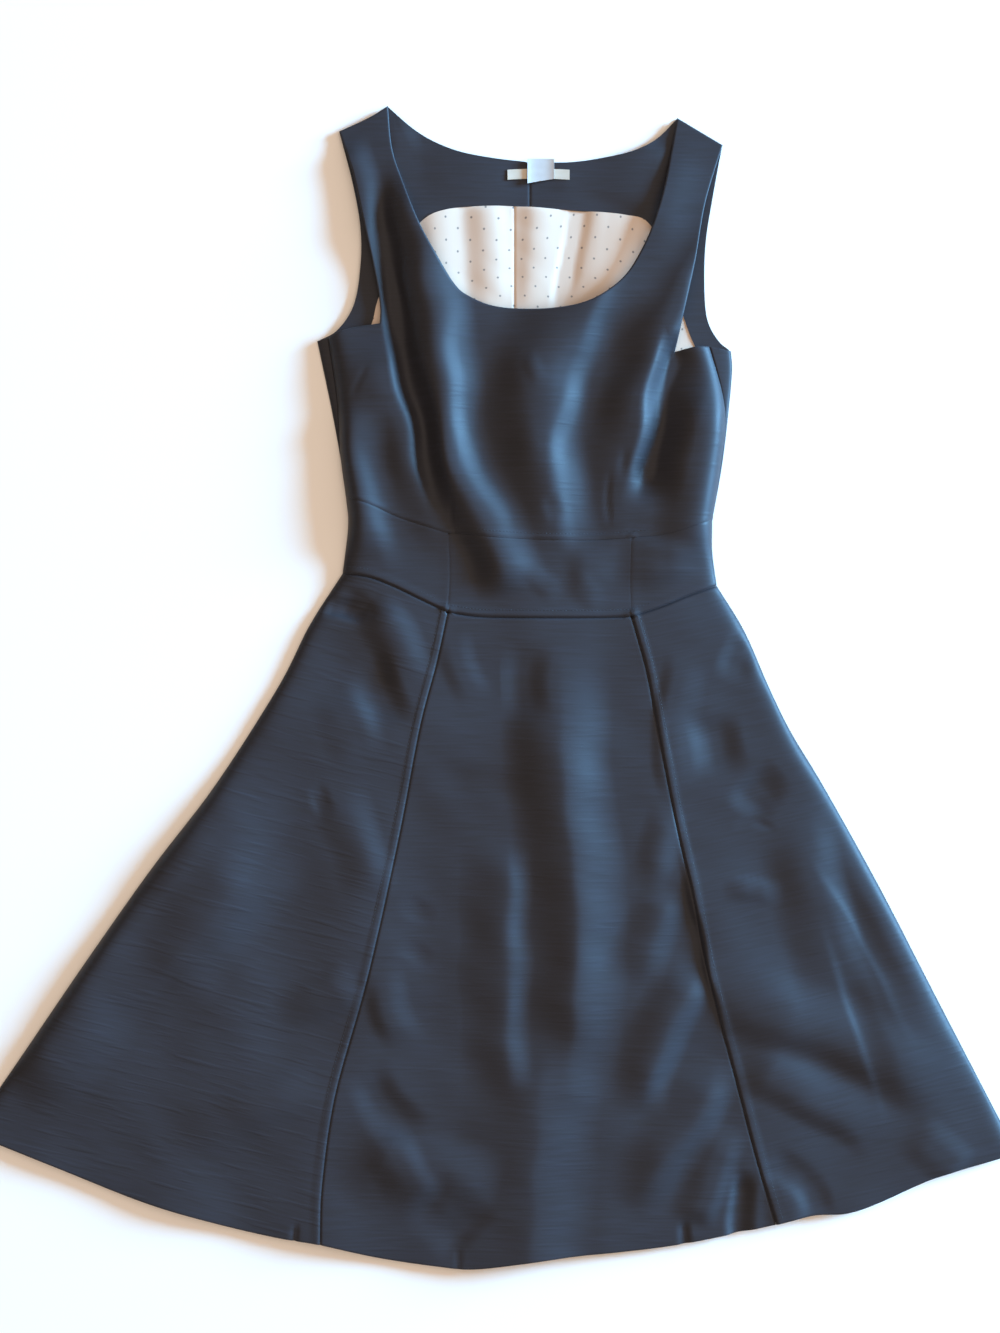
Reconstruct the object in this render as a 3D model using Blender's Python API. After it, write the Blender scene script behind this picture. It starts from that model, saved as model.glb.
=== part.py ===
"""A sleeveless A-line dress, laid flat with its front up.

Metres, +Z up, shoulders towards +Y. The back panels rest on the surface at z = 0, the facing and
the lining lie on them, and the front panels arch over them in folds.
"""

from collections import namedtuple

import bmesh
import bpy
import numpy as np

NAME = "a_line_dress"
MM = 0.001

# Walls and gaps
CLOTH = 1.5 * MM
LINING = 1.0 * MM
LABEL = 0.8 * MM
GAP = 0.3 * MM
HALF_SEAM = 0.25 * MM
EDGE_INSET = 1.0 * MM
LINING_INSET = 8.0 * MM

# The heights of the layers' undersides
INSIDE_BACK = CLOTH + GAP
ON_LINING = INSIDE_BACK + LINING + GAP
ON_LABEL = ON_LINING + LABEL + GAP

# Rows and columns of each grid
SIDE_COLUMNS = 8
MIDDLE_COLUMNS = 14
STRAP_ROWS = 10
BODICE_ROWS = 12
BAND_ROWS = 4
SKIRT_ROWS = 22
BACK_ROWS = 9
BACK_HALF_COLUMNS = 10
BACK_SIDE_ROWS = 6
BACK_ARMHOLE_ROWS = 10
BACK_CENTRE_ROWS = 10
BACK_NECK_ROWS = 6
BACK_BAND_ROWS = 3
BACK_WAIST_COLUMNS = {"left": 6, "middle": 8, "right": 6}
UNDERARM_COLUMNS = 3
LINING_ROWS = 5
FACING_ARMHOLE = 9
FACING_SHOULDER = 3
FACING_NECK = 8
FACING_DEPTH = 2
LABEL_COLUMNS = 4
LABEL_ROWS = 2

# How finely the sides are followed when a point's distance to them is found
SIDE_STEPS = {"front side": 8, "band side": 4, "skirt side": 14}

# How far from a side seam the front has risen to about two thirds of its loft
ROUNDING = 12 * MM

# The sides on which a piece of the band or skirt is sewn to its neighbour
INNER_SIDES = {"left": ("right",), "middle": ("left", "right"), "right": ("left",)}

# The neck label's strip, and the folded care label sewn over it
STRIP_MIDDLE = (42 * MM, 462.5 * MM)
STRIP_SIZE = (56 * MM, 9 * MM)
CARE_MIDDLE = (44 * MM, 465 * MM)
CARE_SIZE = (24 * MM, 22 * MM)

# The cut edges, as (across, up) in millimetres. Left and right are as seen from above.
EDGES = {
    # outline of the back, on the left from the waistband up
    "back side left": ((-132, 171), (-136, 200), (-145, 250), (-158, 312)),
    "back armhole left": (
        (-158, 312), (-140, 322), (-125, 345), (-119, 380), (-119, 415), (-126, 455), (-138, 501),
    ),
    "back side right": ((199, 150), (208, 200), (214, 250), (217, 285), (216, 303)),
    "back armhole right": (
        (216, 303), (205, 312), (195, 330), (192, 355), (193, 400), (200, 445), (208, 488),
    ),
    "back neck left": ((34, 474), (0, 478), (-30, 484), (-55, 494), (-75, 507), (-94, 524)),
    "back neck right": ((34, 474), (70, 474), (100, 478), (130, 485), (150, 496), (167, 513)),
    "back centre": ((34, 133), (34, 474)),
    "back seam left": ((-132, 171), (-80, 151), (-39, 138), (34, 133)),
    "back seam right": ((34, 133), (126, 134), (160, 138), (199, 150)),
    # outline of the front bodice
    "front side left": ((-132, 171), (-137, 210), (-140, 260), (-148, 315)),
    "underarm left": ((-148, 315), (-130, 322), (-101, 327)),
    "front armhole left": ((-101, 327), (-101, 345), (-108, 385), (-118, 430), (-126, 465), (-138, 501)),
    "front side right": ((199, 150), (206, 195), (211, 235), (208, 265), (196, 307)),
    "underarm right": ((165, 302), (183, 306), (196, 307)),
    "front armhole right": ((165, 302), (172, 335), (182, 380), (192, 435), (208, 488)),
    "shoulder left": ((-138, 501), (-110, 514), (-94, 524)),
    "shoulder right": ((167, 513), (185, 502), (208, 488)),
    "strap base left": ((-101, 327), (-65, 332), (-33, 361)),
    "strap base right": ((120, 370), (145, 345), (165, 302)),
    "neck left": ((-33, 361), (-50, 388), (-66, 418), (-80, 454), (-90, 485), (-94, 524)),
    "neck middle": (
        (-33, 361), (-20, 351), (0, 343), (25, 340), (55, 340), (80, 344), (100, 353), (120, 370),
    ),
    "neck right": ((120, 370), (135, 394), (146, 420), (156, 455), (167, 513)),
    # the two seams of the waistband and the seams across it
    "top seam left": ((-132, 171), (-110, 164), (-80, 151), (-39, 138)),
    "top seam middle": ((-39, 138), (5, 134), (50, 132), (90, 132), (126, 134)),
    "top seam right": ((126, 134), (160, 138), (199, 150)),
    "band side left": ((-132, 171), (-130, 145), (-135, 102)),
    "band seam left": ((-39, 138), (-38, 100), (-40, 67)),
    "band seam right": ((126, 134), (125, 100), (126, 63)),
    "band side right": ((199, 150), (199, 122), (203, 91)),
    "waist left": ((-135, 102), (-112, 99), (-90, 91), (-65, 79), (-40, 67)),
    "waist middle": ((-40, 67), (-10, 63), (40, 62), (90, 62), (126, 63)),
    "waist right": ((126, 63), (150, 71), (175, 81), (203, 91)),
    # the skirt's seams and hem
    "skirt side left": (
        (-135, 102), (-165, 55), (-193, 0), (-250, -89), (-308, -165), (-368, -250), (-443, -360),
        (-474, -402),
    ),
    "skirt seam left": (
        (-40, 67), (-50, 21), (-65, -37), (-85, -141), (-112, -262), (-141, -367), (-153, -448),
        (-155, -503),
    ),
    "skirt seam right": (
        (126, 63), (140, 12), (150, -42), (165, -118), (181, -190), (195, -262), (217, -343),
        (237, -420), (256, -485),
    ),
    "skirt side right": (
        (203, 91), (228, 50), (250, 0), (270, -41), (300, -91), (350, -181), (400, -278), (457, -388),
        (474, -420),
    ),
    "hem left": (
        (-474, -402), (-443, -414), (-400, -431), (-323, -462), (-250, -484), (-200, -496), (-155, -503),
    ),
    "hem middle": (
        (-155, -503), (-100, -516), (-50, -523), (-15, -525), (50, -516), (150, -506), (215, -494),
        (256, -485),
    ),
    "hem right": (
        (256, -485), (290, -477), (320, -475), (350, -465), (400, -443), (457, -426), (474, -420),
    ),
    # the facing's lower edge, from each side seam up to the middle
    "facing left": (
        (-149, 276), (-128, 301), (-110, 325), (-103, 350), (-88, 386), (-65, 419), (-40, 431), (0, 434),
        (34, 433),
    ),
    "facing right": (
        (217, 265), (201, 283), (184, 306), (172, 337), (160, 378), (142, 418), (118, 426), (70, 430),
        (34, 433),
    ),
    "facing end left": ((-149, 276), (-158, 312)),
    "facing end right": ((217, 265), (216, 303)),
    "facing centre": ((34, 433), (34, 474)),
    # the lining's sides, from the waistband up to the facing
    "lining side left": ((-132, 171), (-136, 200), (-149, 276)),
    "lining side right": ((199, 150), (208, 200), (217, 265)),
}

# How high the front lies: seat is its underside at the side seam, loft what it gains inside
Level = namedtuple("Level", "up seat loft")
LEVELS = (
    Level(530, 3.1, 0.6),
    Level(480, 3.1, 2.5),
    Level(330, 3.1, 8.5),
    Level(200, 3.1, 9.5),
    Level(140, 3.1, 8.0),
    Level(80, 1.8, 6.5),
    Level(-100, 1.8, 7.0),
    Level(-530, 1.8, 6.0),
)

# The largest folds, from the top down: route in (across, up), height (a trough's is below zero)
# and reach to its left and right, in millimetres, and the share of its length that it fades over
Fold = namedtuple("Fold", "name route height left right fade_in fade_out")
FOLDS = (
    Fold("side swell", ((-140, 255), (-130, 205), (-112, 100)), 3.0, 20, 34, 0.4, 0.3),
    Fold("left bust ridge", ((-100, 325), (-85, 265), (-47, 150)), 5.0, 34, 16, 0.3, 0.4),
    Fold("left bust hollow", ((-118, 480), (-85, 350), (-52, 200), (-41, 150)), -6.0, 16, 22, 0.5, 0.3),
    Fold("left neck ridge", ((-72, 435), (-57, 350), (-41, 250), (-7, 150)), 5.0, 24, 30, 0.3, 0.4),
    Fold("left centre hollow", ((-28, 345), (-17, 250), (25, 155)), -2.5, 24, 26, 0.3, 0.3),
    Fold(
        "right neck ridge", ((155, 450), (118, 366), (50, 305), (45, 200), (60, 155)), 3.5, 34, 26, 0.3, 0.4
    ),
    Fold("right centre hollow", ((138, 395), (97, 305), (69, 200), (74, 150)), -2.0, 22, 26, 0.3, 0.4),
    Fold("right bust ridge", ((196, 450), (165, 350), (135, 250), (116, 165)), 6.0, 40, 16, 0.4, 0.4),
    Fold("right bust hollow", ((165, 300), (144, 200), (130, 160)), -4.0, 14, 26, 0.4, 0.4),
    Fold("hip fold", ((-125, 72), (-82, 30), (-66, -5)), 3.5, 18, 18, 0.5, 0.5),
    Fold("centre ridge", ((60, 50), (61, -60), (75, -225), (70, -420)), 7.0, 44, 52, 0.2, 0.3),
    Fold("low ridge", ((40, -350), (36, -440), (34, -530)), 5.0, 44, 60, 0.3, 0.0),
    Fold("centre left ridge", ((16, -140), (13, -240), (16, -365)), 3.0, 32, 30, 0.4, 0.4),
    Fold("upper slant", ((163, -184), (128, -271)), 4.0, 26, 26, 0.4, 0.4),
    Fold("middle slant", ((187, -253), (143, -350)), 4.0, 26, 26, 0.4, 0.4),
    Fold("lower slant", ((200, -339), (168, -411), (140, -445)), 4.5, 28, 30, 0.4, 0.4),
    Fold("left gore swell", ((-204, -65), (-295, -178), (-415, -360)), 4.0, 52, 60, 0.4, 0.3),
    Fold("right gore ridge", ((276, -111), (300, -210), (335, -310)), 4.5, 34, 30, 0.4, 0.4),
    Fold("right gore edge fold", ((300, -155), (345, -237), (400, -345)), 4.0, 26, 26, 0.4, 0.4),
    Fold("hem bump", ((266, -420), (270, -500)), 5.0, 24, 26, 0.5, 0.0),
)

# Each material's colour, roughness and metallic value
NAVY = ("navy suiting", (0.050, 0.058, 0.075, 1.0), 0.62, 0.0)
IVORY = ("dotted lining", (0.78, 0.74, 0.70, 1.0), 0.45, 0.0)
TAPE = ("woven label", (0.86, 0.82, 0.74, 1.0), 0.55, 0.0)
PAPER = ("care label satin", (0.90, 0.90, 0.90, 1.0), 0.45, 0.0)


def clear_scene():
    for obj in list(bpy.data.objects):
        bpy.data.objects.remove(obj, do_unlink=True)


def parts_collection():
    collection = bpy.data.collections.new(NAME)
    bpy.context.scene.collection.children.link(collection)
    return collection


def material(name, colour, roughness, metallic):
    made = bpy.data.materials.new(name)
    made.use_nodes = True
    shader = made.node_tree.nodes["Principled BSDF"]
    shader.inputs["Base Color"].default_value = colour
    shader.inputs["Roughness"].default_value = roughness
    shader.inputs["Metallic"].default_value = metallic
    return made


def smooth_curve(points, steps=12):
    """A Catmull-Rom curve through the points, in metres."""
    points = np.array(points, float) * MM
    before = 2 * points[0] - points[1]
    after = 2 * points[-1] - points[-2]
    padded = np.vstack([before, points, after])
    found = [points[0]]
    for p0, p1, p2, p3 in zip(padded, padded[1:], padded[2:], padded[3:]):
        for step in range(1, steps + 1):
            t = step / steps
            a = 2 * p1 + (p2 - p0) * t
            b = (2 * p0 - 5 * p1 + 4 * p2 - p3) * t**2
            c = (3 * p1 - p0 - 3 * p2 + p3) * t**3
            found.append((a + b + c) / 2)
    return np.array(found)


def evenly(curve, count):
    """count + 1 points spaced evenly along a curve."""
    lengths = np.linalg.norm(np.diff(curve, axis=0), axis=1)
    along = np.concatenate([[0.0], np.cumsum(lengths)])
    wanted = np.linspace(0, along[-1], count + 1)
    return np.column_stack([np.interp(wanted, along, curve[:, axis]) for axis in (0, 1)])


def edge(name, count, flip=False):
    points = evenly(smooth_curve(EDGES[name]), count)
    return points[::-1] if flip else points


def chain(*stretches):
    """Stretches end to end as one edge, each sharing its first point with the last one's end."""
    return np.vstack([stretches[0]] + [stretch[1:] for stretch in stretches[1:]])


def near(curve, points):
    """Each point's distance to a curve, which side it lies on, and how far along, from 0 to 1."""
    starts = curve[:-1]
    runs = curve[1:] - starts
    lengths = np.linalg.norm(runs, axis=1)
    along = np.concatenate([[0.0], np.cumsum(lengths)])
    best = np.full(len(points), np.inf)
    side = np.zeros(len(points))
    share = np.zeros(len(points))
    for index, (start, run, length) in enumerate(zip(starts, runs, lengths)):
        offset = points - start
        t = np.clip(offset @ run / length**2, 0, 1)
        distance = np.linalg.norm(offset - t[:, None] * run, axis=1)
        closer = distance < best
        best = np.where(closer, distance, best)
        side = np.where(closer, run[0] * offset[:, 1] - run[1] * offset[:, 0], side)
        share = np.where(closer, (along[index] + t * length) / along[-1], share)
    return best, side > 0, share


def ease(x):
    x = np.clip(x, 0, 1)
    return x * x * (3 - 2 * x)


def fold_height(fold, points):
    distance, on_right, share = near(smooth_curve(fold.route, 6), points)
    reach = np.where(on_right, fold.right, fold.left) * MM
    across = np.cos(np.pi / 2 * np.clip(distance / reach, 0, 1)) ** 2
    fade_in = ease(share / fold.fade_in) if fold.fade_in else 1.0
    fade_out = ease((1 - share) / fold.fade_out) if fold.fade_out else 1.0
    return fold.height * MM * across * fade_in * fade_out


def front_outline(place):
    """One side of the front, from the underarm down to the hem."""
    return chain(
        edge(f"front side {place}", SIDE_STEPS["front side"], flip=True),
        edge(f"band side {place}", SIDE_STEPS["band side"]),
        edge(f"skirt side {place}", SIDE_STEPS["skirt side"]),
    )


def front_height(points):
    """The height of the front's underside: a loft that falls to the side seams, and the folds."""
    up = points[:, 1] / MM
    rows = sorted(LEVELS)
    heights = [row.up for row in rows]
    seat = np.interp(up, heights, [row.seat for row in rows]) * MM
    loft = np.interp(up, heights, [row.loft for row in rows]) * MM
    inside = np.minimum(*(near(front_outline(place), points)[0] for place in ("left", "right")))
    held = 1 - np.exp(-inside / ROUNDING)
    folds = sum(fold_height(fold, points) for fold in FOLDS)
    return seat + np.maximum(0, (loft + folds) * held)


def patch(bottom, top, left, right):
    """A Coons patch: a grid of points between four edges that share their corners."""
    columns = len(bottom)
    rows = len(left)
    u = np.linspace(0, 1, columns)[None, :, None]
    v = np.linspace(0, 1, rows)[:, None, None]
    upright = (1 - v) * bottom[None] + v * top[None]
    sideways = (1 - u) * left[:, None] + u * right[:, None]
    lower = (1 - u) * bottom[0] + u * bottom[-1]
    upper = (1 - u) * top[0] + u * top[-1]
    return upright + sideways - (1 - v) * lower - v * upper


def drawn_in(grid, sides, by=HALF_SEAM):
    """The grid with the named sides moved in, by half a seam's gap where nothing else is said."""
    grid = grid.copy()
    cut = {
        "left": (grid[:, 0], grid[:, 1]),
        "right": (grid[:, -1], grid[:, -2]),
        "bottom": (grid[0], grid[1]),
        "top": (grid[-1], grid[-2]),
    }
    for side in sides:
        outer, inner = cut[side]
        towards = inner - outer
        outer += towards / np.linalg.norm(towards, axis=-1, keepdims=True) * by
    return grid


def add_grid(bm, grid):
    """A grid primitive with its points moved to the given places."""
    rows, columns = grid.shape[:2]
    made = bmesh.ops.create_grid(bm, x_segments=columns - 1, y_segments=rows - 1, size=0.5)
    for vert in made["verts"]:
        column = round((vert.co.x + 0.5) * (columns - 1))
        row = round((vert.co.y + 0.5) * (rows - 1))
        vert.co.x, vert.co.y = grid[row, column]
        vert.co.z = 0.0


def cloth_piece(name, grids, height, wall, finish, collection):
    """One panel: its grids sewn together, raised to a height, and given a wall upwards."""
    bm = bmesh.new()
    for grid in grids:
        add_grid(bm, grid)
    bmesh.ops.remove_doubles(bm, verts=bm.verts, dist=0.05 * MM)
    places = np.array([vert.co.xy for vert in bm.verts])
    heights = height(places) if callable(height) else np.full(len(places), height)
    for vert, z in zip(bm.verts, heights):
        vert.co.z = z
    risen = bmesh.ops.extrude_face_region(bm, geom=bm.faces[:], use_keep_orig=True)
    tops = [item for item in risen["geom"] if isinstance(item, bmesh.types.BMVert)]
    bmesh.ops.translate(bm, verts=tops, vec=(0, 0, wall))
    bmesh.ops.recalc_face_normals(bm, faces=bm.faces[:])
    mesh = bpy.data.meshes.new(name)
    bm.to_mesh(mesh)
    bm.free()
    mesh.materials.append(finish)
    mesh.shade_smooth()
    mesh.set_sharp_from_angle(angle=0.9)
    obj = bpy.data.objects.new(name, mesh)
    collection.objects.link(obj)
    return obj


def bodice_front(finish, collection):
    bottom = chain(
        edge("top seam left", SIDE_COLUMNS),
        edge("top seam middle", MIDDLE_COLUMNS),
        edge("top seam right", SIDE_COLUMNS),
    )
    strap = SIDE_COLUMNS - 1
    middle = len(bottom) - 1 - 2 * (UNDERARM_COLUMNS + strap)
    top = chain(
        edge("underarm left", UNDERARM_COLUMNS),
        edge("strap base left", strap),
        edge("neck middle", middle),
        edge("strap base right", strap),
        edge("underarm right", UNDERARM_COLUMNS),
    )
    left = edge("front side left", BODICE_ROWS)
    right = edge("front side right", BODICE_ROWS)
    body = drawn_in(patch(bottom, top, left, right), ("bottom",))
    strap_left = patch(
        edge("strap base left", strap),
        edge("shoulder left", strap),
        edge("front armhole left", STRAP_ROWS),
        edge("neck left", STRAP_ROWS),
    )
    strap_right = patch(
        edge("strap base right", strap),
        edge("shoulder right", strap),
        edge("neck right", STRAP_ROWS),
        edge("front armhole right", STRAP_ROWS),
    )
    grids = (body, strap_left, strap_right)
    cloth_piece("bodice_front", grids, front_height, CLOTH, finish, collection)


def band_grids():
    """The waistband's three pieces, from the left."""
    names = ("band side left", "band seam left", "band seam right", "band side right")
    sides = [edge(name, BAND_ROWS, flip=True) for name in names]
    columns = (SIDE_COLUMNS, MIDDLE_COLUMNS, SIDE_COLUMNS)
    for index, place in enumerate(("left", "middle", "right")):
        bottom = edge(f"waist {place}", columns[index])
        top = edge(f"top seam {place}", columns[index])
        yield place, patch(bottom, top, sides[index], sides[index + 1])


def skirt_grids():
    """The skirt's three gores, from the left."""
    names = ("skirt side left", "skirt seam left", "skirt seam right", "skirt side right")
    sides = [edge(name, SKIRT_ROWS, flip=True) for name in names]
    columns = (SIDE_COLUMNS, MIDDLE_COLUMNS, SIDE_COLUMNS)
    for index, place in enumerate(("left", "middle", "right")):
        bottom = edge(f"hem {place}", columns[index])
        top = edge(f"waist {place}", columns[index])
        yield place, patch(bottom, top, sides[index], sides[index + 1])


def front_panels(finish, collection):
    bodice_front(finish, collection)
    for place, grid in band_grids():
        grid = drawn_in(grid, ("bottom", "top") + INNER_SIDES[place])
        cloth_piece(f"band_front_{place}", (grid,), front_height, CLOTH, finish, collection)
    for place, grid in skirt_grids():
        grid = drawn_in(grid, ("top",) + INNER_SIDES[place])
        cloth_piece(f"skirt_front_{place}", (grid,), front_height, CLOTH, finish, collection)


def back_bodice_half(place):
    """From the waistband to the shoulder, between the outline and the centre seam and neck."""
    outline = chain(
        edge(f"back side {place}", BACK_SIDE_ROWS),
        edge(f"back armhole {place}", BACK_ARMHOLE_ROWS),
    )
    inner = chain(edge("back centre", BACK_CENTRE_ROWS), edge(f"back neck {place}", BACK_NECK_ROWS))
    seam = edge(f"back seam {place}", BACK_HALF_COLUMNS)
    shoulder = edge(f"shoulder {place}", BACK_HALF_COLUMNS)
    if place == "left":
        return patch(seam, shoulder, outline, inner)
    return patch(seam, shoulder, inner, outline)


def back_panels(finish, collection):
    for place, centre in (("left", "right"), ("right", "left")):
        grid = drawn_in(back_bodice_half(place), ("bottom", centre))
        cloth_piece(f"bodice_back_{place}", (grid,), 0.0, CLOTH, finish, collection)
    seam = chain(edge("back seam left", BACK_HALF_COLUMNS), edge("back seam right", BACK_HALF_COLUMNS))
    waist = chain(*(edge(f"waist {place}", count) for place, count in BACK_WAIST_COLUMNS.items()))
    sides = [edge(f"band side {place}", BACK_BAND_ROWS, flip=True) for place in ("left", "right")]
    band = drawn_in(patch(waist, seam, *sides), ("bottom", "top"))
    cloth_piece("band_back", (band,), 0.0, CLOTH, finish, collection)
    hem = chain(*(edge(f"hem {place}", count) for place, count in BACK_WAIST_COLUMNS.items()))
    sides = [edge(f"skirt side {place}", BACK_ROWS, flip=True) for place in ("left", "right")]
    skirt = drawn_in(patch(hem, waist, *sides), ("top",))
    cloth_piece("skirt_back", (skirt,), 0.0, CLOTH, finish, collection)


def facing(place, finish, collection):
    """The band of cloth that faces the back armhole, shoulder and neck."""
    along = FACING_ARMHOLE + FACING_SHOULDER + FACING_NECK
    outline = chain(
        edge(f"back armhole {place}", FACING_ARMHOLE),
        edge(f"shoulder {place}", FACING_SHOULDER, flip=place == "right"),
        edge(f"back neck {place}", FACING_NECK, flip=True),
    )
    lower = edge(f"facing {place}", along)
    ends = (edge(f"facing end {place}", FACING_DEPTH), edge("facing centre", FACING_DEPTH))
    grid = patch(lower, outline, *ends)
    grid = drawn_in(grid, ("left",), LINING_INSET)
    grid = drawn_in(grid, ("top",), EDGE_INSET)
    grid = drawn_in(grid, ("bottom", "right"))
    cloth_piece(f"facing_back_{place}", (grid,), INSIDE_BACK, LINING, finish, collection)


def lining(finish, collection):
    """The two halves below the facing. Their seam lies one step to the left of the facing's."""
    along = FACING_ARMHOLE + FACING_SHOULDER + FACING_NECK
    lower = {place: edge(f"facing {place}", along) for place in ("left", "right")}
    seam_top = lower["left"][-2]
    seam_foot = np.array([seam_top[0], EDGES["back centre"][0][1] * MM])
    seam = evenly(np.array([seam_foot, seam_top]), LINING_ROWS)
    sides = {place: edge(f"lining side {place}", LINING_ROWS) for place in ("left", "right")}
    tops = {"left": lower["left"][:-1], "right": chain(lower["left"][-2:], lower["right"][::-1])}
    for place in ("left", "right"):
        waist = np.array([sides[place][0], seam_foot])
        waist = waist if place == "left" else waist[::-1]
        bottom = evenly(waist, len(tops[place]) - 1)
        edges = (sides["left"], seam) if place == "left" else (seam, sides["right"])
        grid = drawn_in(patch(bottom, tops[place], *edges), ("left", "right", "top"))
        grid = drawn_in(grid, (place, "bottom"), LINING_INSET)
        cloth_piece(f"lining_back_{place}", (grid,), INSIDE_BACK, LINING, finish, collection)


def label(name, middle, size, height, finish, collection):
    x, y = middle
    width, length = size
    low, high = y - length / 2, y + length / 2
    left, right = x - width / 2, x + width / 2
    corners = np.array([(left, low), (right, low), (left, high), (right, high)])
    grid = patch(
        evenly(corners[[0, 1]], LABEL_COLUMNS),
        evenly(corners[[2, 3]], LABEL_COLUMNS),
        evenly(corners[[0, 2]], LABEL_ROWS),
        evenly(corners[[1, 3]], LABEL_ROWS),
    )
    cloth_piece(name, (grid,), height, LABEL, finish, collection)


def build():
    clear_scene()
    collection = parts_collection()
    navy, ivory, tape, paper = (material(*row) for row in (NAVY, IVORY, TAPE, PAPER))
    back_panels(navy, collection)
    for place in ("left", "right"):
        facing(place, navy, collection)
    lining(ivory, collection)
    label("neck_label", STRIP_MIDDLE, STRIP_SIZE, ON_LINING, tape, collection)
    label("care_label", CARE_MIDDLE, CARE_SIZE, ON_LABEL, paper, collection)
    front_panels(navy, collection)


build()
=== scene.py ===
"""The looks of a sleeveless a-line dress, laid flat with its front up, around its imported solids.

Metres, +Z up, shoulders towards +Y. The front is one draped surface that its panels share: a loft
over the hollow dress, the folds of a table, and the seams pressed into it.
"""

import math
from collections import namedtuple

import bpy
import numpy as np
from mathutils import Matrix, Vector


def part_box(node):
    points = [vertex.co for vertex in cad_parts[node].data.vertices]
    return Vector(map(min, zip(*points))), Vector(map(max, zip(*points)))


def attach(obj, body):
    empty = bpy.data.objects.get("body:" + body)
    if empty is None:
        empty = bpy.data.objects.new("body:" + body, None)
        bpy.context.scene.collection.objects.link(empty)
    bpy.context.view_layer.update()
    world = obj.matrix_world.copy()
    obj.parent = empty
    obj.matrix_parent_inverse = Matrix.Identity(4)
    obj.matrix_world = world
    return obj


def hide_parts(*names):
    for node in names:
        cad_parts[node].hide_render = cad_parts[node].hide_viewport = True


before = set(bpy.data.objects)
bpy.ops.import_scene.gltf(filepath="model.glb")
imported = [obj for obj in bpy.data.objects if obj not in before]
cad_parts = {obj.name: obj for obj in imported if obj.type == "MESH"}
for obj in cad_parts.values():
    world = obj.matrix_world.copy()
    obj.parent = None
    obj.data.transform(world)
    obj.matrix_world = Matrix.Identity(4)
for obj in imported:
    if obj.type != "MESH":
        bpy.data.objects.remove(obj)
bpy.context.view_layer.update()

bl_info = {
    "name": "A-line dress, laid flat",
    "version": (1, 0, 0),
    "blender": (4, 5, 0),
    "location": "View3D > Sidebar > Dress",
    "description": "Makes each panel, label and stitch of an a-line dress, and the stage it lies on",
    "category": "Add Mesh",
}

MM = 0.001
BODY = "root"
SIDES = ("left", "right")
PLACES = ("left", "middle", "right")
WELD_DISTANCE = 0.02 * MM
LEAST_FLAT = 10 * MM  # the shortest side that a cut's size is given with

# The floor lies this far below the dress, so that the two don't share a plane
FLOOR_DROP = 0.1 * MM
FLOOR_LINES = 13

# The level in the dress that the camera's view is measured at
VIEW_LEVEL = 10 * MM

# How far to each side the surround's brightness changes, where 1 is level with the floor
SURROUND_TURN = 0.9

# The Mix node's places for two colours and their mixture, which share their names with others
MIX_FIRST = 6
MIX_SECOND = 7
MIX_RESULT = 2

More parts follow.
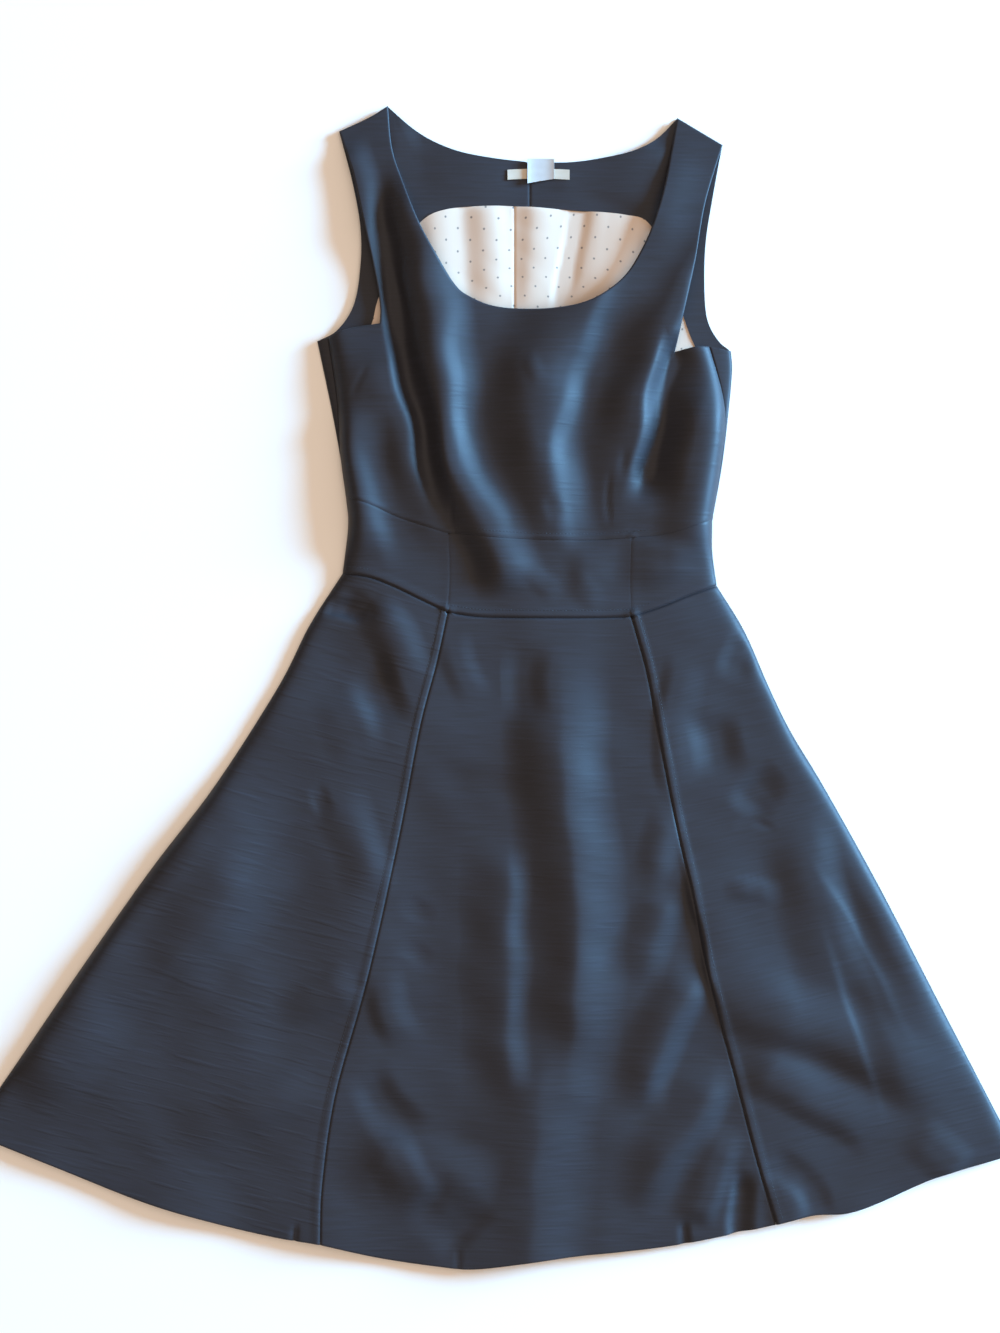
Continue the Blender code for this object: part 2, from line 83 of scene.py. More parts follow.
# The cut edges, as (across, up) in millimetres. Left and right are as seen from above.
EDGES = {
    # outline of the back, on the left from the waistband up
    "back side left": ((-132, 171), (-136, 200), (-145, 250), (-158, 312)),
    "back armhole left": (
        (-158, 312), (-140, 322), (-125, 345), (-119, 380), (-119, 415), (-126, 455), (-138, 501),
    ),
    "back side right": ((199, 150), (208, 200), (214, 250), (217, 285), (216, 303)),
    "back armhole right": (
        (216, 303), (205, 312), (195, 330), (192, 355), (193, 400), (200, 445), (208, 488),
    ),
    "back neck left": ((34, 474), (0, 478), (-30, 484), (-55, 494), (-75, 507), (-94, 524)),
    "back neck right": ((34, 474), (70, 474), (100, 478), (130, 485), (150, 496), (167, 513)),
    "back centre": ((34, 133), (34, 474)),
    "back seam left": ((-132, 171), (-80, 151), (-39, 138), (34, 133)),
    "back seam right": ((34, 133), (126, 134), (160, 138), (199, 150)),
    # outline of the front bodice
    "front side left": ((-132, 171), (-137, 210), (-140, 260), (-148, 315)),
    "underarm left": ((-148, 315), (-130, 322), (-101, 327)),
    "front armhole left": ((-101, 327), (-101, 345), (-108, 385), (-118, 430), (-126, 465), (-138, 501)),
    "front side right": ((199, 150), (206, 195), (211, 235), (208, 265), (196, 307)),
    "underarm right": ((165, 302), (183, 306), (196, 307)),
    "front armhole right": ((165, 302), (172, 335), (182, 380), (192, 435), (208, 488)),
    "shoulder left": ((-138, 501), (-110, 514), (-94, 524)),
    "shoulder right": ((167, 513), (185, 502), (208, 488)),
    "strap base left": ((-101, 327), (-65, 332), (-33, 361)),
    "strap base right": ((120, 370), (145, 345), (165, 302)),
    "neck left": ((-33, 361), (-50, 388), (-66, 418), (-80, 454), (-90, 485), (-94, 524)),
    "neck middle": (
        (-33, 361), (-20, 351), (0, 343), (25, 340), (55, 340), (80, 344), (100, 353), (120, 370),
    ),
    "neck right": ((120, 370), (135, 394), (146, 420), (156, 455), (167, 513)),
    # the two seams of the waistband and the seams across it
    "top seam left": ((-132, 171), (-110, 164), (-80, 151), (-39, 138)),
    "top seam middle": ((-39, 138), (5, 134), (50, 132), (90, 132), (126, 134)),
    "top seam right": ((126, 134), (160, 138), (199, 150)),
    "band side left": ((-132, 171), (-130, 145), (-135, 102)),
    "band seam left": ((-39, 138), (-38, 100), (-40, 67)),
    "band seam right": ((126, 134), (125, 100), (126, 63)),
    "band side right": ((199, 150), (199, 122), (203, 91)),
    "waist left": ((-135, 102), (-112, 99), (-90, 91), (-65, 79), (-40, 67)),
    "waist middle": ((-40, 67), (-10, 63), (40, 62), (90, 62), (126, 63)),
    "waist right": ((126, 63), (150, 71), (175, 81), (203, 91)),
    # the skirt's seams and hem
    "skirt side left": (
        (-135, 102), (-165, 55), (-193, 0), (-250, -89), (-308, -165), (-368, -250), (-443, -360),
        (-474, -402),
    ),
    "skirt seam left": (
        (-40, 67), (-50, 21), (-65, -37), (-85, -141), (-112, -262), (-141, -367), (-153, -448),
        (-155, -503),
    ),
    "skirt seam right": (
        (126, 63), (140, 12), (150, -42), (165, -118), (181, -190), (195, -262), (217, -343),
        (237, -420), (256, -485),
    ),
    "skirt side right": (
        (203, 91), (228, 50), (250, 0), (270, -41), (300, -91), (350, -181), (400, -278), (457, -388),
        (474, -420),
    ),
    "hem left": (
        (-474, -402), (-443, -414), (-400, -431), (-323, -462), (-250, -484), (-200, -496), (-155, -503),
    ),
    "hem middle": (
        (-155, -503), (-100, -516), (-50, -523), (-15, -525), (50, -516), (150, -506), (215, -494),
        (256, -485),
    ),
    "hem right": (
        (256, -485), (290, -477), (320, -475), (350, -465), (400, -443), (457, -426), (474, -420),
    ),
    # the facing's lower edge, from each side seam up to the middle
    "facing left": (
        (-149, 276), (-128, 301), (-110, 325), (-103, 350), (-88, 386), (-65, 419), (-40, 431), (0, 434),
        (34, 433),
    ),
    "facing right": (
        (217, 265), (201, 283), (184, 306), (172, 337), (160, 378), (142, 418), (118, 426), (70, 430),
        (34, 433),
    ),
    "facing end left": ((-149, 276), (-158, 312)),
    "facing end right": ((217, 265), (216, 303)),
    "facing centre": ((34, 433), (34, 474)),
    # the lining's sides, from the waistband up to the facing, and its centre seam
    "lining side left": ((-132, 171), (-136, 200), (-149, 276)),
    "lining side right": ((199, 150), (208, 200), (217, 265)),
    "lining seam": ((20, 133), (20, 433)),
}

# Edges that run on smoothly into the next: that edge's nearest point, before the start and past the end
RUNS_ON = {
    "neck left": ((-20, 351), None),
    "neck middle": ((-50, 388), (135, 394)),
    "neck right": ((100, 353), None),
}

# How high the front lies, in millimetres: seat is its underside at the side seam, and loft what it
# gains further in
Level = namedtuple("Level", "up seat loft")
LEVELS = (
    Level(530, 3.1, 0.6),
    Level(480, 3.1, 2.5),
    Level(330, 3.1, 8.5),
    Level(200, 3.1, 9.5),
    Level(140, 3.1, 8.0),
    Level(80, 1.8, 6.0),
    Level(-100, 1.8, 5.5),
    Level(-530, 1.8, 5.0),
)

# Folds and creases, from the top down or from the left: route in (across, up), height (a trough's
# is below zero), reach to its left and right in millimetres (below and above, where it runs from
# the left), the share of its length that it fades over at each end, and how pointed its crest is,
# from 0 to 1
Fold = namedtuple("Fold", "name route height left right fade_in fade_out point")
BODICE_FOLDS = (
    Fold("side swell", ((-142, 258), (-138, 210), (-131, 160), (-126, 108)), 6.5, 9, 44, 0.2, 0.25, 0),
    Fold(
        "side hollow", ((-122, 245), (-108, 213), (-91, 168), (-77, 132), (-60, 98)),
        -4.0, 24, 26, 0.3, 0.3, 0.1,
    ),
    Fold("left strap edge", ((-134, 495), (-122, 450), (-112, 405), (-104, 365)), 4.0, 6, 22, 0.2, 0.4, 0),
    Fold(
        "left bust ridge", ((-110, 335), (-98, 290), (-80, 240), (-69, 200), (-56, 160)),
        4.5, 42, 14, 0.3, 0.35, 0,
    ),
    Fold(
        "left bust hollow",
        (
            (-106, 480), (-103, 450), (-96, 400), (-87, 350),
            (-78, 300), (-66, 250), (-56, 200), (-44, 152),
        ),
        -8.0, 14, 13, 0.4, 0.15, 0.3,
    ),
    Fold(
        "left neck ridge",
        (
            (-86, 480), (-68, 420), (-57, 350), (-49, 300), (-44, 250),
            (-37, 200), (-19, 165), (4, 122), (16, 76),
        ),
        10.5, 25, 36, 0.15, 0.08, 0.3,
    ),
    Fold(
        "left centre hollow", ((-28, 345), (-23, 300), (-17, 250), (-3, 200), (20, 160), (30, 110)),
        -4.0, 20, 46, 0.25, 0.3, 0,
    ),
    Fold(
        "right neck ridge",
        (
            (164, 505), (153, 450), (138, 404), (114, 362), (84, 336), (55, 300), (46, 250), (48, 200),
            (58, 155), (66, 108),
        ),
        9.0, 56, 36, 0.25, 0.15, 0.1,
    ),
    Fold(
        "right centre hollow",
        (
            (174, 470), (158, 430), (138, 392), (118, 355), (99, 305),
            (80, 250), (70, 205), (78, 150), (86, 104),
        ),
        -4.0, 18, 40, 0.25, 0.15, 0.2,
    ),
    Fold(
        "right bust ridge",
        (
            (200, 470), (184, 400), (168, 350), (152, 300),
            (141, 250), (130, 203), (119, 160),
        ),
        7.5, 46, 15, 0.25, 0.3, 0.1,
    ),
    Fold(
        "right bust hollow", ((168, 318), (158, 285), (150, 248), (141, 203), (129, 158)),
        -12.0, 13, 34, 0.15, 0.25, 0.6,
    ),
    Fold("right side swell", ((208, 285), (200, 225), (196, 165), (194, 100)), 7.5, 52, 10, 0.3, 0.3, 0),
    Fold("neck pinch", ((30, 300), (50, 268)), 0.8, 8, 8, 0.4, 0.4, 0),
    Fold("waist pinch", ((48, 172), (62, 148)), -1.2, 8, 8, 0.4, 0.4, 0.3),
    Fold("tuck left", ((-37, 170), (-35, 145)), -0.9, 3, 3, 0.4, 0.2, 0.5),
    Fold("tuck right high", ((120, 213), (116, 190)), -0.7, 5, 5, 0.3, 0.3, 0.4),
    Fold("tuck right low", ((105, 195), (107, 146)), -0.7, 3, 3, 0.3, 0.2, 0.5),
    Fold("dart line", ((-114, 291), (-126, 259)), -0.6, 3, 3, 0.3, 0.3, 0.5),
    Fold("dart crease", ((-118, 258), (-84, 257)), -0.5, 3, 4, 0.3, 0.5, 0.5),
    Fold("band swell", ((86, 140), (88, 110), (96, 76)), 2.0, 22, 34, 0.4, 0.4, 0),
    Fold("band side ridge", ((157, 140), (156, 114), (157, 86)), 3.4, 42, 30, 0.35, 0.4, 0),
    Fold("band pucker upper", ((30, 106), (44, 92), (60, 78)), 1.0, 9, 12, 0.4, 0.4, 0.1),
    Fold("band pucker lower", ((62, 100), (84, 84), (104, 72)), 1.0, 12, 14, 0.4, 0.4, 0.1),
)
MIDDLE_FOLDS = (
    Fold(
        "centre ridge",
        (
            (57, 60), (61, 0), (61, -60), (66, -110), (73, -160),
            (76, -220), (74, -280), (69, -340), (62, -400),
        ),
        11.5, 50, 44, 0.3, 0.3, 0.4,
    ),
    Fold(
        "low ridge", ((50, -310), (44, -360), (40, -410), (38, -460), (34, -535)),
        8.5, 70, 54, 0.25, 0.0, 0.4,
    ),
    Fold(
        "centre left ridge", ((15, -130), (13, -200), (13, -250), (13, -300), (16, -372)),
        5.0, 40, 20, 0.2, 0.2, 0.5,
    ),
    Fold("drop hollow", ((34, 44), (30, 8), (34, -40)), -2.5, 22, 20, 0.4, 0.4, 0),
    Fold("first slant", ((164, -108), (150, -150), (138, -185)), 2.2, 20, 16, 0.3, 0.4, 0.4),
    Fold("upper slant", ((166, -178), (144, -228), (128, -272)), 4.0, 30, 20, 0.3, 0.4, 0.4),
    Fold(
        "middle slant", ((188, -245), (175, -275), (158, -308), (143, -350), (135, -388)),
        6.5, 34, 20, 0.25, 0.3, 0.4,
    ),
    Fold(
        "lower slant", ((202, -330), (190, -370), (166, -410), (140, -444), (116, -470)),
        6.5, 36, 26, 0.25, 0.4, 0.4,
    ),
    Fold("hem slant", ((218, -395), (199, -440), (184, -490)), 3.6, 26, 16, 0.3, 0.2, 0),
    Fold("seam hollow low", ((230, -432), (224, -455), (221, -492)), -5.0, 9, 14, 0.4, 0.0, 0.3),
    Fold("waist flick", ((-38, 52), (-29, 20), (-12, -20)), 1.8, 16, 16, 0.4, 0.5, 0),
    Fold("middle cross", ((-62, -78), (-30, -86), (5, -88), (40, -100)), -1.4, 16, 18, 0.4, 0.4, 0),
    Fold("seam flick", ((-84, -190), (-70, -200), (-50, -210)), -1.0, 10, 10, 0.5, 0.5, 0),
    Fold("low seam flick", ((-86, -230), (-72, -241), (-54, -252)), -1.0, 9, 10, 0.5, 0.5, 0),
    Fold("left low streak", ((-106, -250), (-94, -288), (-74, -330)), 2.8, 18, 20, 0.4, 0.4, 0.1),
    Fold("left low hollow", ((-120, -340), (-100, -372), (-70, -410)), -3.0, 24, 22, 0.4, 0.4, 0),
    Fold("left low ridge", ((-112, -392), (-82, -428), (-58, -470)), 3.0, 30, 20, 0.4, 0.4, 0),
    Fold("hem shelf", ((-130, -395), (-95, -425), (-45, -440), (5, -455)), 5.0, 50, 36, 0.3, 0.3, 0),
    Fold("hem dip", ((-66, -450), (-38, -474), (-14, -500)), -3.0, 34, 30, 0.3, 0.2, 0),
    Fold("hem tick middle", ((-31, -505), (-31, -528)), -0.8, 3, 3, 0.4, 0.0, 0.4),
    Fold("hem tick right", ((174, -482), (175, -508)), -2.0, 5, 5, 0.4, 0.0, 0.4),
)
LEFT_FOLDS = (
    Fold("waist dimple", ((-156, 72), (-136, 70), (-112, 62)), -3.4, 8, 13, 0.3, 0.5, 0),
    Fold("waist hollow", ((-142, 84), (-120, 72), (-108, 56)), -2.0, 16, 12, 0.4, 0.4, 0),
    Fold("hip fold", ((-112, 78), (-95, 58), (-83, 36), (-74, 14), (-67, -6)), 4.6, 26, 20, 0.3, 0.4, 0.2),
    Fold("hip hollow", ((-118, 30), (-100, -4), (-82, -44)), -4.0, 26, 20, 0.4, 0.4, 0),
    Fold("thigh swell", ((-150, 0), (-128, -34), (-112, -74)), 2.2, 26, 22, 0.4, 0.4, 0),
    Fold("thigh crease", ((-163, -88), (-154, -102), (-142, -122)), -1.2, 8, 9, 0.5, 0.5, 0),
    Fold(
        "thigh ridge", ((-138, -88), (-126, -122), (-112, -158), (-100, -198)),
        3.0, 28, 20, 0.3, 0.3, 0.4,
    ),
    Fold(
        "edge swell",
        (
            (-200, -50), (-240, -110), (-282, -162), (-318, -208),
            (-355, -260), (-392, -312), (-436, -374),
        ),
        6.0, 220, 58, 0.2, 0.15, 0.2,
    ),
    Fold(
        "gore swell", ((-196, -132), (-226, -175), (-262, -218), (-300, -262), (-340, -312)),
        6.5, 40, 48, 0.3, 0.4, 0.3,
    ),
    Fold("seam sweep", ((-120, -262), (-150, -278), (-195, -294)), 2.6, 20, 24, 0.3, 0.5, 0),
    Fold("low sweep", ((-150, -352), (-195, -368), (-248, -390), (-300, -408)), 2.6, 24, 30, 0.3, 0.5, 0),
    Fold("hem tick left", ((-179, -482), (-178, -505)), -1.6, 3, 4, 0.4, 0.0, 0.4),
)
RIGHT_FOLDS = (
    Fold("hip streak", ((172, 34), (164, -8), (160, -60), (168, -108)), 2.2, 14, 24, 0.3, 0.3, 0),
    Fold("hip dent", ((196, -20), (200, -50), (206, -84)), -3.2, 22, 26, 0.4, 0.4, 0),
    Fold("side dent", ((236, 52), (224, 24), (216, 0)), -2.6, 18, 18, 0.4, 0.4, 0),
    Fold("thigh dent", ((262, -78), (240, -96), (222, -118)), -2.8, 20, 22, 0.4, 0.4, 0),
    Fold("cross line", ((215, -128), (235, -124), (256, -130)), -0.9, 4, 5, 0.4, 0.4, 0.4),
    Fold("level line", ((206, -186), (236, -184), (262, -188)), 1.6, 12, 12, 0.4, 0.4, 0),
    Fold(
        "long ridge", ((277, -98), (289, -160), (302, -212), (316, -258), (336, -310)),
        4.6, 44, 24, 0.3, 0.4, 0.1,
    ),
    Fold(
        "long crease", ((300, -195), (312, -242), (328, -290), (340, -324), (354, -366), (367, -408)),
        -1.5, 8, 18, 0.4, 0.4, 0.2,
    ),
    Fold(
        "outer crease", ((284, -130), (309, -176), (345, -238), (367, -284), (388, -330)),
        -1.3, 8, 16, 0.4, 0.4, 0.2,
    ),
    Fold("seam swell", ((175, -140), (188, -205), (201, -262), (217, -318)), 4.6, 8, 74, 0.3, 0.4, 0.1),
    Fold(
        "upper swell",
        (
            (204, -262), (226, -284), (258, -300), (300, -312),
            (345, -334), (392, -362), (436, -392),
        ),
        6.0, 30, 40, 0.3, 0.5, 0.2,
    ),
    Fold(
        "lower swell", ((222, -335), (250, -354), (292, -374), (330, -396), (352, -430)),
        4.2, 20, 34, 0.2, 0.4, 0.2,
    ),
    Fold("hem bump", ((264, -430), (266, -462), (268, -500)), 2.2, 20, 18, 0.5, 0.0, 0),
    Fold(
        "hem bump hollow", ((244, -424), (270, -436), (287, -455), (296, -482)),
        -1.6, 14, 14, 0.3, 0.2, 0.1,
    ),
    Fold("hem corner swell", ((372, -395), (402, -418), (425, -440)), 2.4, 24, 22, 0.4, 0.2, 0),
)
FRONT_FOLDS = BODICE_FOLDS + MIDDLE_FOLDS + LEFT_FOLDS + RIGHT_FOLDS

# Soft folds of the lining, where it shows through the neck
LINING_FOLDS = (
    Fold("pleat outer left", ((-50, 440), (-47, 380), (-44, 320)), 2.2, 18, 24, 0.1, 0.4, 0.2),
    Fold("pleat left", ((-4, 440), (0, 380), (3, 320)), 2.8, 22, 20, 0.1, 0.4, 0.2),
    Fold("pleat middle", ((42, 440), (39, 380), (34, 320)), 2.8, 18, 28, 0.1, 0.4, 0.2),
    Fold("pleat edge", ((77, 440), (66, 385), (54, 330)), -3.6, 6, 18, 0.1, 0.4, 0.6),
    Fold("pleat right", ((108, 440), (100, 385), (90, 330)), 2.8, 28, 28, 0.1, 0.4, 0),
)

# The facing's relief, under the straps and beside the labels
FACING_FOLDS = (
    Fold("left shoulder swell", ((-92, 516), (-84, 500), (-80, 480)), 1.6, 16, 16, 0.3, 0.4, 0),
    Fold("left neck hollow", ((-84, 486), (-76, 455), (-66, 425)), -1.4, 10, 36, 0.3, 0.3, 0.3),
    Fold("right neck swell", ((152, 496), (142, 460), (132, 425)), 2.6, 64, 16, 0.2, 0.2, 0.2),
    Fold("label hollow", ((6, 470), (20, 462), (40, 456), (70, 458)), -0.8, 16, 14, 0.3, 0.3, 0),
)

# Unevenness: a random seed, how many waves, the shortest and longest, and the height, in millimetres
Rumple = namedtuple("Rumple", "seed waves shortest longest height")
FRONT_RUMPLES = (Rumple(7, 9, 26, 70, 0.16), Rumple(3, 8, 90, 210, 1.3))

# How far the folds of the front stray from their routes, across and up
WANDER = (Rumple(21, 6, 45, 130, 1.7), Rumple(22, 6, 45, 130, 1.7))

# How an inner layer lies, in millimetres: how far it stands off the back, how deep and wide its
# seam's groove is, and its unevenness
Lie = namedtuple("Lie", "lift groove width rumple")
FACING_LIE = Lie(1.2, 0.5, 1.2, Rumple(11, 6, 60, 140, 0.35))
LINING_LIE = Lie(0.6, 0.6, 1.3, Rumple(5, 6, 45, 120, 0.3))

# Seams in the front: the groove's depth, the side that the allowance is pressed to (1 is above or
# right of the seam, -1 below or left), how wide and thick it shows, and how far off the
# topstitching runs, 0 for none, all in millimetres
Seam = namedtuple("Seam", "edge depth side width rise stitch")
SEAMS = (
    *(Seam(f"waist {place}", 1.1, 1, 7.5, 0.7, 6.5) for place in PLACES),
    Seam("top seam left", 0.45, 1, 6.5, 0.3, 5.5),
    Seam("top seam middle", 0.3, 1, 6.5, 0.3, 5.5),
    Seam("top seam right", 0.3, 1, 6.5, 0.3, 5.5),
    Seam("band seam left", 0.2, -1, 6.0, 0.12, 0),
    Seam("band seam right", 0.1, 1, 6.0, 0.1, 0),
    Seam("skirt seam left", 0.7, -1, 8.0, 0.5, 7.0),
    Seam("skirt seam right", 1.0, 1, 8.0, 0.7, 7.0),
)

# How wide a seam's groove is, how far the allowance's edge fades over, and how deep and wide the
# topstitching dents the cloth, in millimetres
GROOVE_WIDTH = 1.1
ALLOWANCE_FADE = 2.0
STITCH_DENT = 0.55
STITCH_DENT_WIDTH = 1.0

# A stitch's rings: how far along it, as a share of its length, and how thick, 1 at the middle
STITCH_RINGS = ((-0.5, 0.35), (-0.3, 1.0), (0.3, 1.0), (0.5, 0.35))
STITCH_SIDES = 6

# The radius, in millimetres, that a fold's crest or trough is rounded by, and the share of its
# narrower reach that the radius may take up
CREST_RADIUS = 4.0
CREST_SHARE = 0.3

# Free and folded edges: how far the cloth turns down, and over what width, in millimetres
Turned = namedtuple("Turned", "edge drop width")
TURNED = (
    *(Turned(f"neck {place}", 1.2, 1.6) for place in SIDES),
    Turned("neck middle", 1.0, 1.4),
    *(Turned(f"front armhole {place}", 1.0, 1.4) for place in SIDES),
    *(Turned(f"underarm {place}", 1.0, 1.4) for place in SIDES),
    *(Turned(f"shoulder {place}", 0.8, 1.4) for place in SIDES),
    *(Turned(f"hem {place}", 1.0, 1.4) for place in PLACES),
    *(Turned(f"skirt side {place}", 1.6, 3.2) for place in SIDES),
    *(Turned(f"band side {place}", 1.6, 3.0) for place in SIDES),
    *(Turned(f"front side {place}", 0.6, 1.2) for place in SIDES),
)

# How close the rows and columns of a panel lie to its edges, in millimetres
CLOSE = (0.35, 0.8, 1.5, 2.4, 3.6)

# The side seams, which the loft falls to
OUTLINE = [f"{part} side {place}" for place in SIDES for part in ("front", "band", "skirt")]


def linear(text):
    """The linear colour of an sRGB hex value."""
    values = [int(text[index:index + 2], 16) / 255 for index in (0, 2, 4)]
    return tuple(v / 12.92 if v <= 0.04045 else ((v + 0.055) / 1.055) ** 2.4 for v in values)


def length_property(label, description, millimetres):
    """A length, with its default in millimetres."""
    return bpy.props.FloatProperty(
        name=label, description=description, default=millimetres * MM, min=0.0, unit="LENGTH"
    )


def colour_property(label, description, value):
    """A colour, with its default as an sRGB hex value."""
    return bpy.props.FloatVectorProperty(
        name=label, description=description, default=linear(value), subtype="COLOR", min=0.0, max=1.0
    )


def place_property(label, description, value):
    """A place, with its default in metres."""
    return bpy.props.FloatVectorProperty(
        name=label, description=description, default=value, subtype="XYZ", unit="LENGTH"
    )


def number_property(label, description, value):
    """A bare number."""
    return bpy.props.FloatProperty(name=label, description=description, default=value, min=0.0)


class DressSizes(bpy.types.PropertyGroup):
    """Walls, gaps and spacings."""

    cloth: length_property("Cloth", "Thickness of the suiting", 1.2)
    cad_cloth: length_property("Cloth room", "Height of the suiting's wall in the solids", 1.5)
    lining: length_property("Lining", "Thickness of the lining", 0.7)
    facing: length_property("Facing", "Thickness of the facing", 0.9)
    label: length_property("Label", "Thickness of a label", 0.5)
    gap: length_property("Gap", "Room between layers", 0.3)
    half_seam: length_property("Half seam", "Room that a panel leaves at a seam", 0.04)
    edge_inset: length_property("Edge inset", "How far the facing stays inside the outline", 1.0)
    lining_inset: length_property("Lining inset", "How far the lining stays inside the side seams", 15.0)
    grid: length_property("Grid", "Spacing of the front's rows and columns", 2.8)
    coarse_grid: length_property("Coarse grid", "Spacing of the back's rows and columns", 6.0)
    rounding: length_property("Rounding", "How soon the front rises from its side seams", 5.0)
    stitch: length_property("Stitch", "Length of one stitch", 2.3)
    stitch_pitch: length_property("Stitch pitch", "From one stitch to the next", 3.1)
    thread: length_property("Thread", "Thickness of the sewing thread", 0.42)
    dot_across: length_property("Dot columns", "Between two columns of the lining's dots", 11.0)
    dot_down: length_property("Dot rows", "Between two dots of one column", 18.0)
    dot_radius: length_property("Dot radius", "Radius of a dot, at the middle of its soft edge", 0.9)


class DressFinish(bpy.types.PropertyGroup):
    """Colours of the cloth, thread and labels."""

    suiting: colour_property("Suiting", "The navy cloth", "27262A")
    suiting_slub: colour_property("Suiting slub", "The thicker yarns of the navy cloth", "2B2A30")
    thread: colour_property("Thread", "The sewing thread", "26262B")
    lining: colour_property("Lining", "The lining's ground", "DAC2AC")
    dot: colour_property("Dot", "The lining's pin dots", "80766E")
    tape: colour_property("Tape", "The woven neck label", "CFC2AE")
    satin: colour_property("Satin", "The care label", "C4C2BE")


class DressStage(bpy.types.PropertyGroup):
    """Light, floor and camera."""

    key_power: bpy.props.FloatProperty(
        name="Key power", description="The low window light from the right", default=2200.0, unit="POWER"
    )
    fill_power: bpy.props.FloatProperty(
        name="Fill power", description="The broad warm light from above", default=43.0, unit="POWER"
    )
    key_place: place_property("Key place", "Where the window light stands", (5.7, 1.8, 1.4))
    key_size: length_property("Key size", "Width of the window light", 2400.0)
    fill_place: place_property("Fill place", "Where the light above hangs", (0.1, 0.1, 2.7))
    fill_size: length_property("Fill size", "Width of the light above", 4400.0)
    key_colour: colour_property("Key colour", "Colour of the window light", "88CAFF")
    fill_colour: colour_property("Fill colour", "Colour of the light from above", "FFE8D4")
    world_colour: colour_property("Surround colour", "Colour of the surround", "FFEDDF")
    world_right: number_property("Surround on the right", "How bright the surround is on the right", 0.62)
    world_left: number_property("Surround on the left", "How bright the surround is on the left", 0.12)
    floor: colour_property("Floor", "The pale floor", "FFF8EE")
    floor_size: length_property("Floor size", "Length of the floor's side", 16000.0)
    camera_height: length_property("Camera height", "How far the camera is above the dress", 2000.0)
    view_height: length_property("View height", "Height of what the camera sees", 1200.0)
    view_across: bpy.props.FloatProperty(
        name="View across", description="Middle of the view, across", default=7.2 * MM, unit="LENGTH"
    )
    view_up: bpy.props.FloatProperty(
        name="View up", description="Middle of the view, up", default=18 * MM, unit="LENGTH"
    )


def smooth_curve(points, steps=12, before=None, after=None):
    """A Catmull-Rom curve through the points, in metres, heading in from before and out to after."""
    points = np.array(points, float) * MM
    before = np.array(before) * MM if before else 2 * points[0] - points[1]
    after = np.array(after) * MM if after else 2 * points[-1] - points[-2]
    padded = np.vstack([before, points, after])
    found = [points[0]]
    for p0, p1, p2, p3 in zip(padded, padded[1:], padded[2:], padded[3:]):
        for step in range(1, steps + 1):
            t = step / steps
            a = 2 * p1 + (p2 - p0) * t
            b = (2 * p0 - 5 * p1 + 4 * p2 - p3) * t**2
            c = (3 * p1 - p0 - 3 * p2 + p3) * t**3
            found.append((a + b + c) / 2)
    return np.array(found)


def run_of(curve):
    """How far along the curve each of its points lies."""
    steps = np.linalg.norm(np.diff(curve, axis=0), axis=1)
    return np.concatenate([[0.0], np.cumsum(steps)])


def at_shares(curve, shares):
    """Points at these shares of a curve's length."""
    along = run_of(curve)
    wanted = np.asarray(shares) * along[-1]
    return np.column_stack([np.interp(wanted, along, curve[:, axis]) for axis in range(curve.shape[1])])


def edge(name, shares=None, flip=False):
    """A cut edge, whole, or at shares that count from its far end when it is flipped."""
    before, after = RUNS_ON.get(name, (None, None))
    curve = smooth_curve(EDGES[name], before=before, after=after)
    curve = curve[::-1] if flip else curve
    return curve if shares is None else at_shares(curve, shares)


def edge_length(name):
    """The length of a cut edge."""
    return run_of(edge(name))[-1]


def chain(*stretches):
    """Stretches end to end as one curve, each sharing its first point with the last one's end."""
    return np.vstack([stretches[0]] + [stretch[1:] for stretch in stretches[1:]])


def spread(length, spacing, close_start=True, close_end=True):
    """Shares of a length from 0 to 1, evenly spaced, and closer at the ends that ask for it."""
    close = np.array(CLOSE) * MM
    start = close[-1] if close_start else 0.0
    end = length - close[-1] if close_end else length
    count = max(1, round((end - start) / spacing))
    places = list(np.linspace(start, end, count + 1))
    before = [0.0, *close[:-1]] if close_start else []
    after = [length - gap for gap in (*close[-2::-1], 0.0)] if close_end else []
    return np.array(before + places + after) / length


def near(curve, points, reach):
    """Each point's distance to a curve, its side, and how far along it is, from 0 to 1.

    The side is true to the right of a curve that runs down, and above one that runs right.
    Points well beyond reach are left at an endless distance."""
    best = np.full(len(points), np.inf)
    side = np.zeros(len(points))
    share = np.zeros(len(points))
    low, high = curve.min(axis=0) - reach, curve.max(axis=0) + reach
    chosen = np.flatnonzero(np.all((points >= low) & (points <= high), axis=1))
    if not len(chosen):
        return best, side > 0, share
    there = points[chosen]
    starts, runs = curve[:-1], np.diff(curve, axis=0)
    lengths = np.linalg.norm(runs, axis=1)
    along = run_of(curve)
    near_best, near_side, near_share = best[chosen], side[chosen], share[chosen]
    for index, (start, run, length) in enumerate(zip(starts, runs, lengths)):
        offset = there - start
        t = np.clip(offset @ run / length**2, 0, 1)
        distance = np.linalg.norm(offset - t[:, None] * run, axis=1)
        closer = distance < near_best
        near_best = np.where(closer, distance, near_best)
        near_side = np.where(closer, run[0] * offset[:, 1] - run[1] * offset[:, 0], near_side)
        near_share = np.where(closer, (along[index] + t * length) / along[-1], near_share)
    best[chosen], side[chosen], share[chosen] = near_best, near_side, near_share
    return best, side > 0, share


def ease(x):
    """A smooth step from 0 to 1."""
    x = np.clip(x, 0, 1)
    return x * x * (3 - 2 * x)


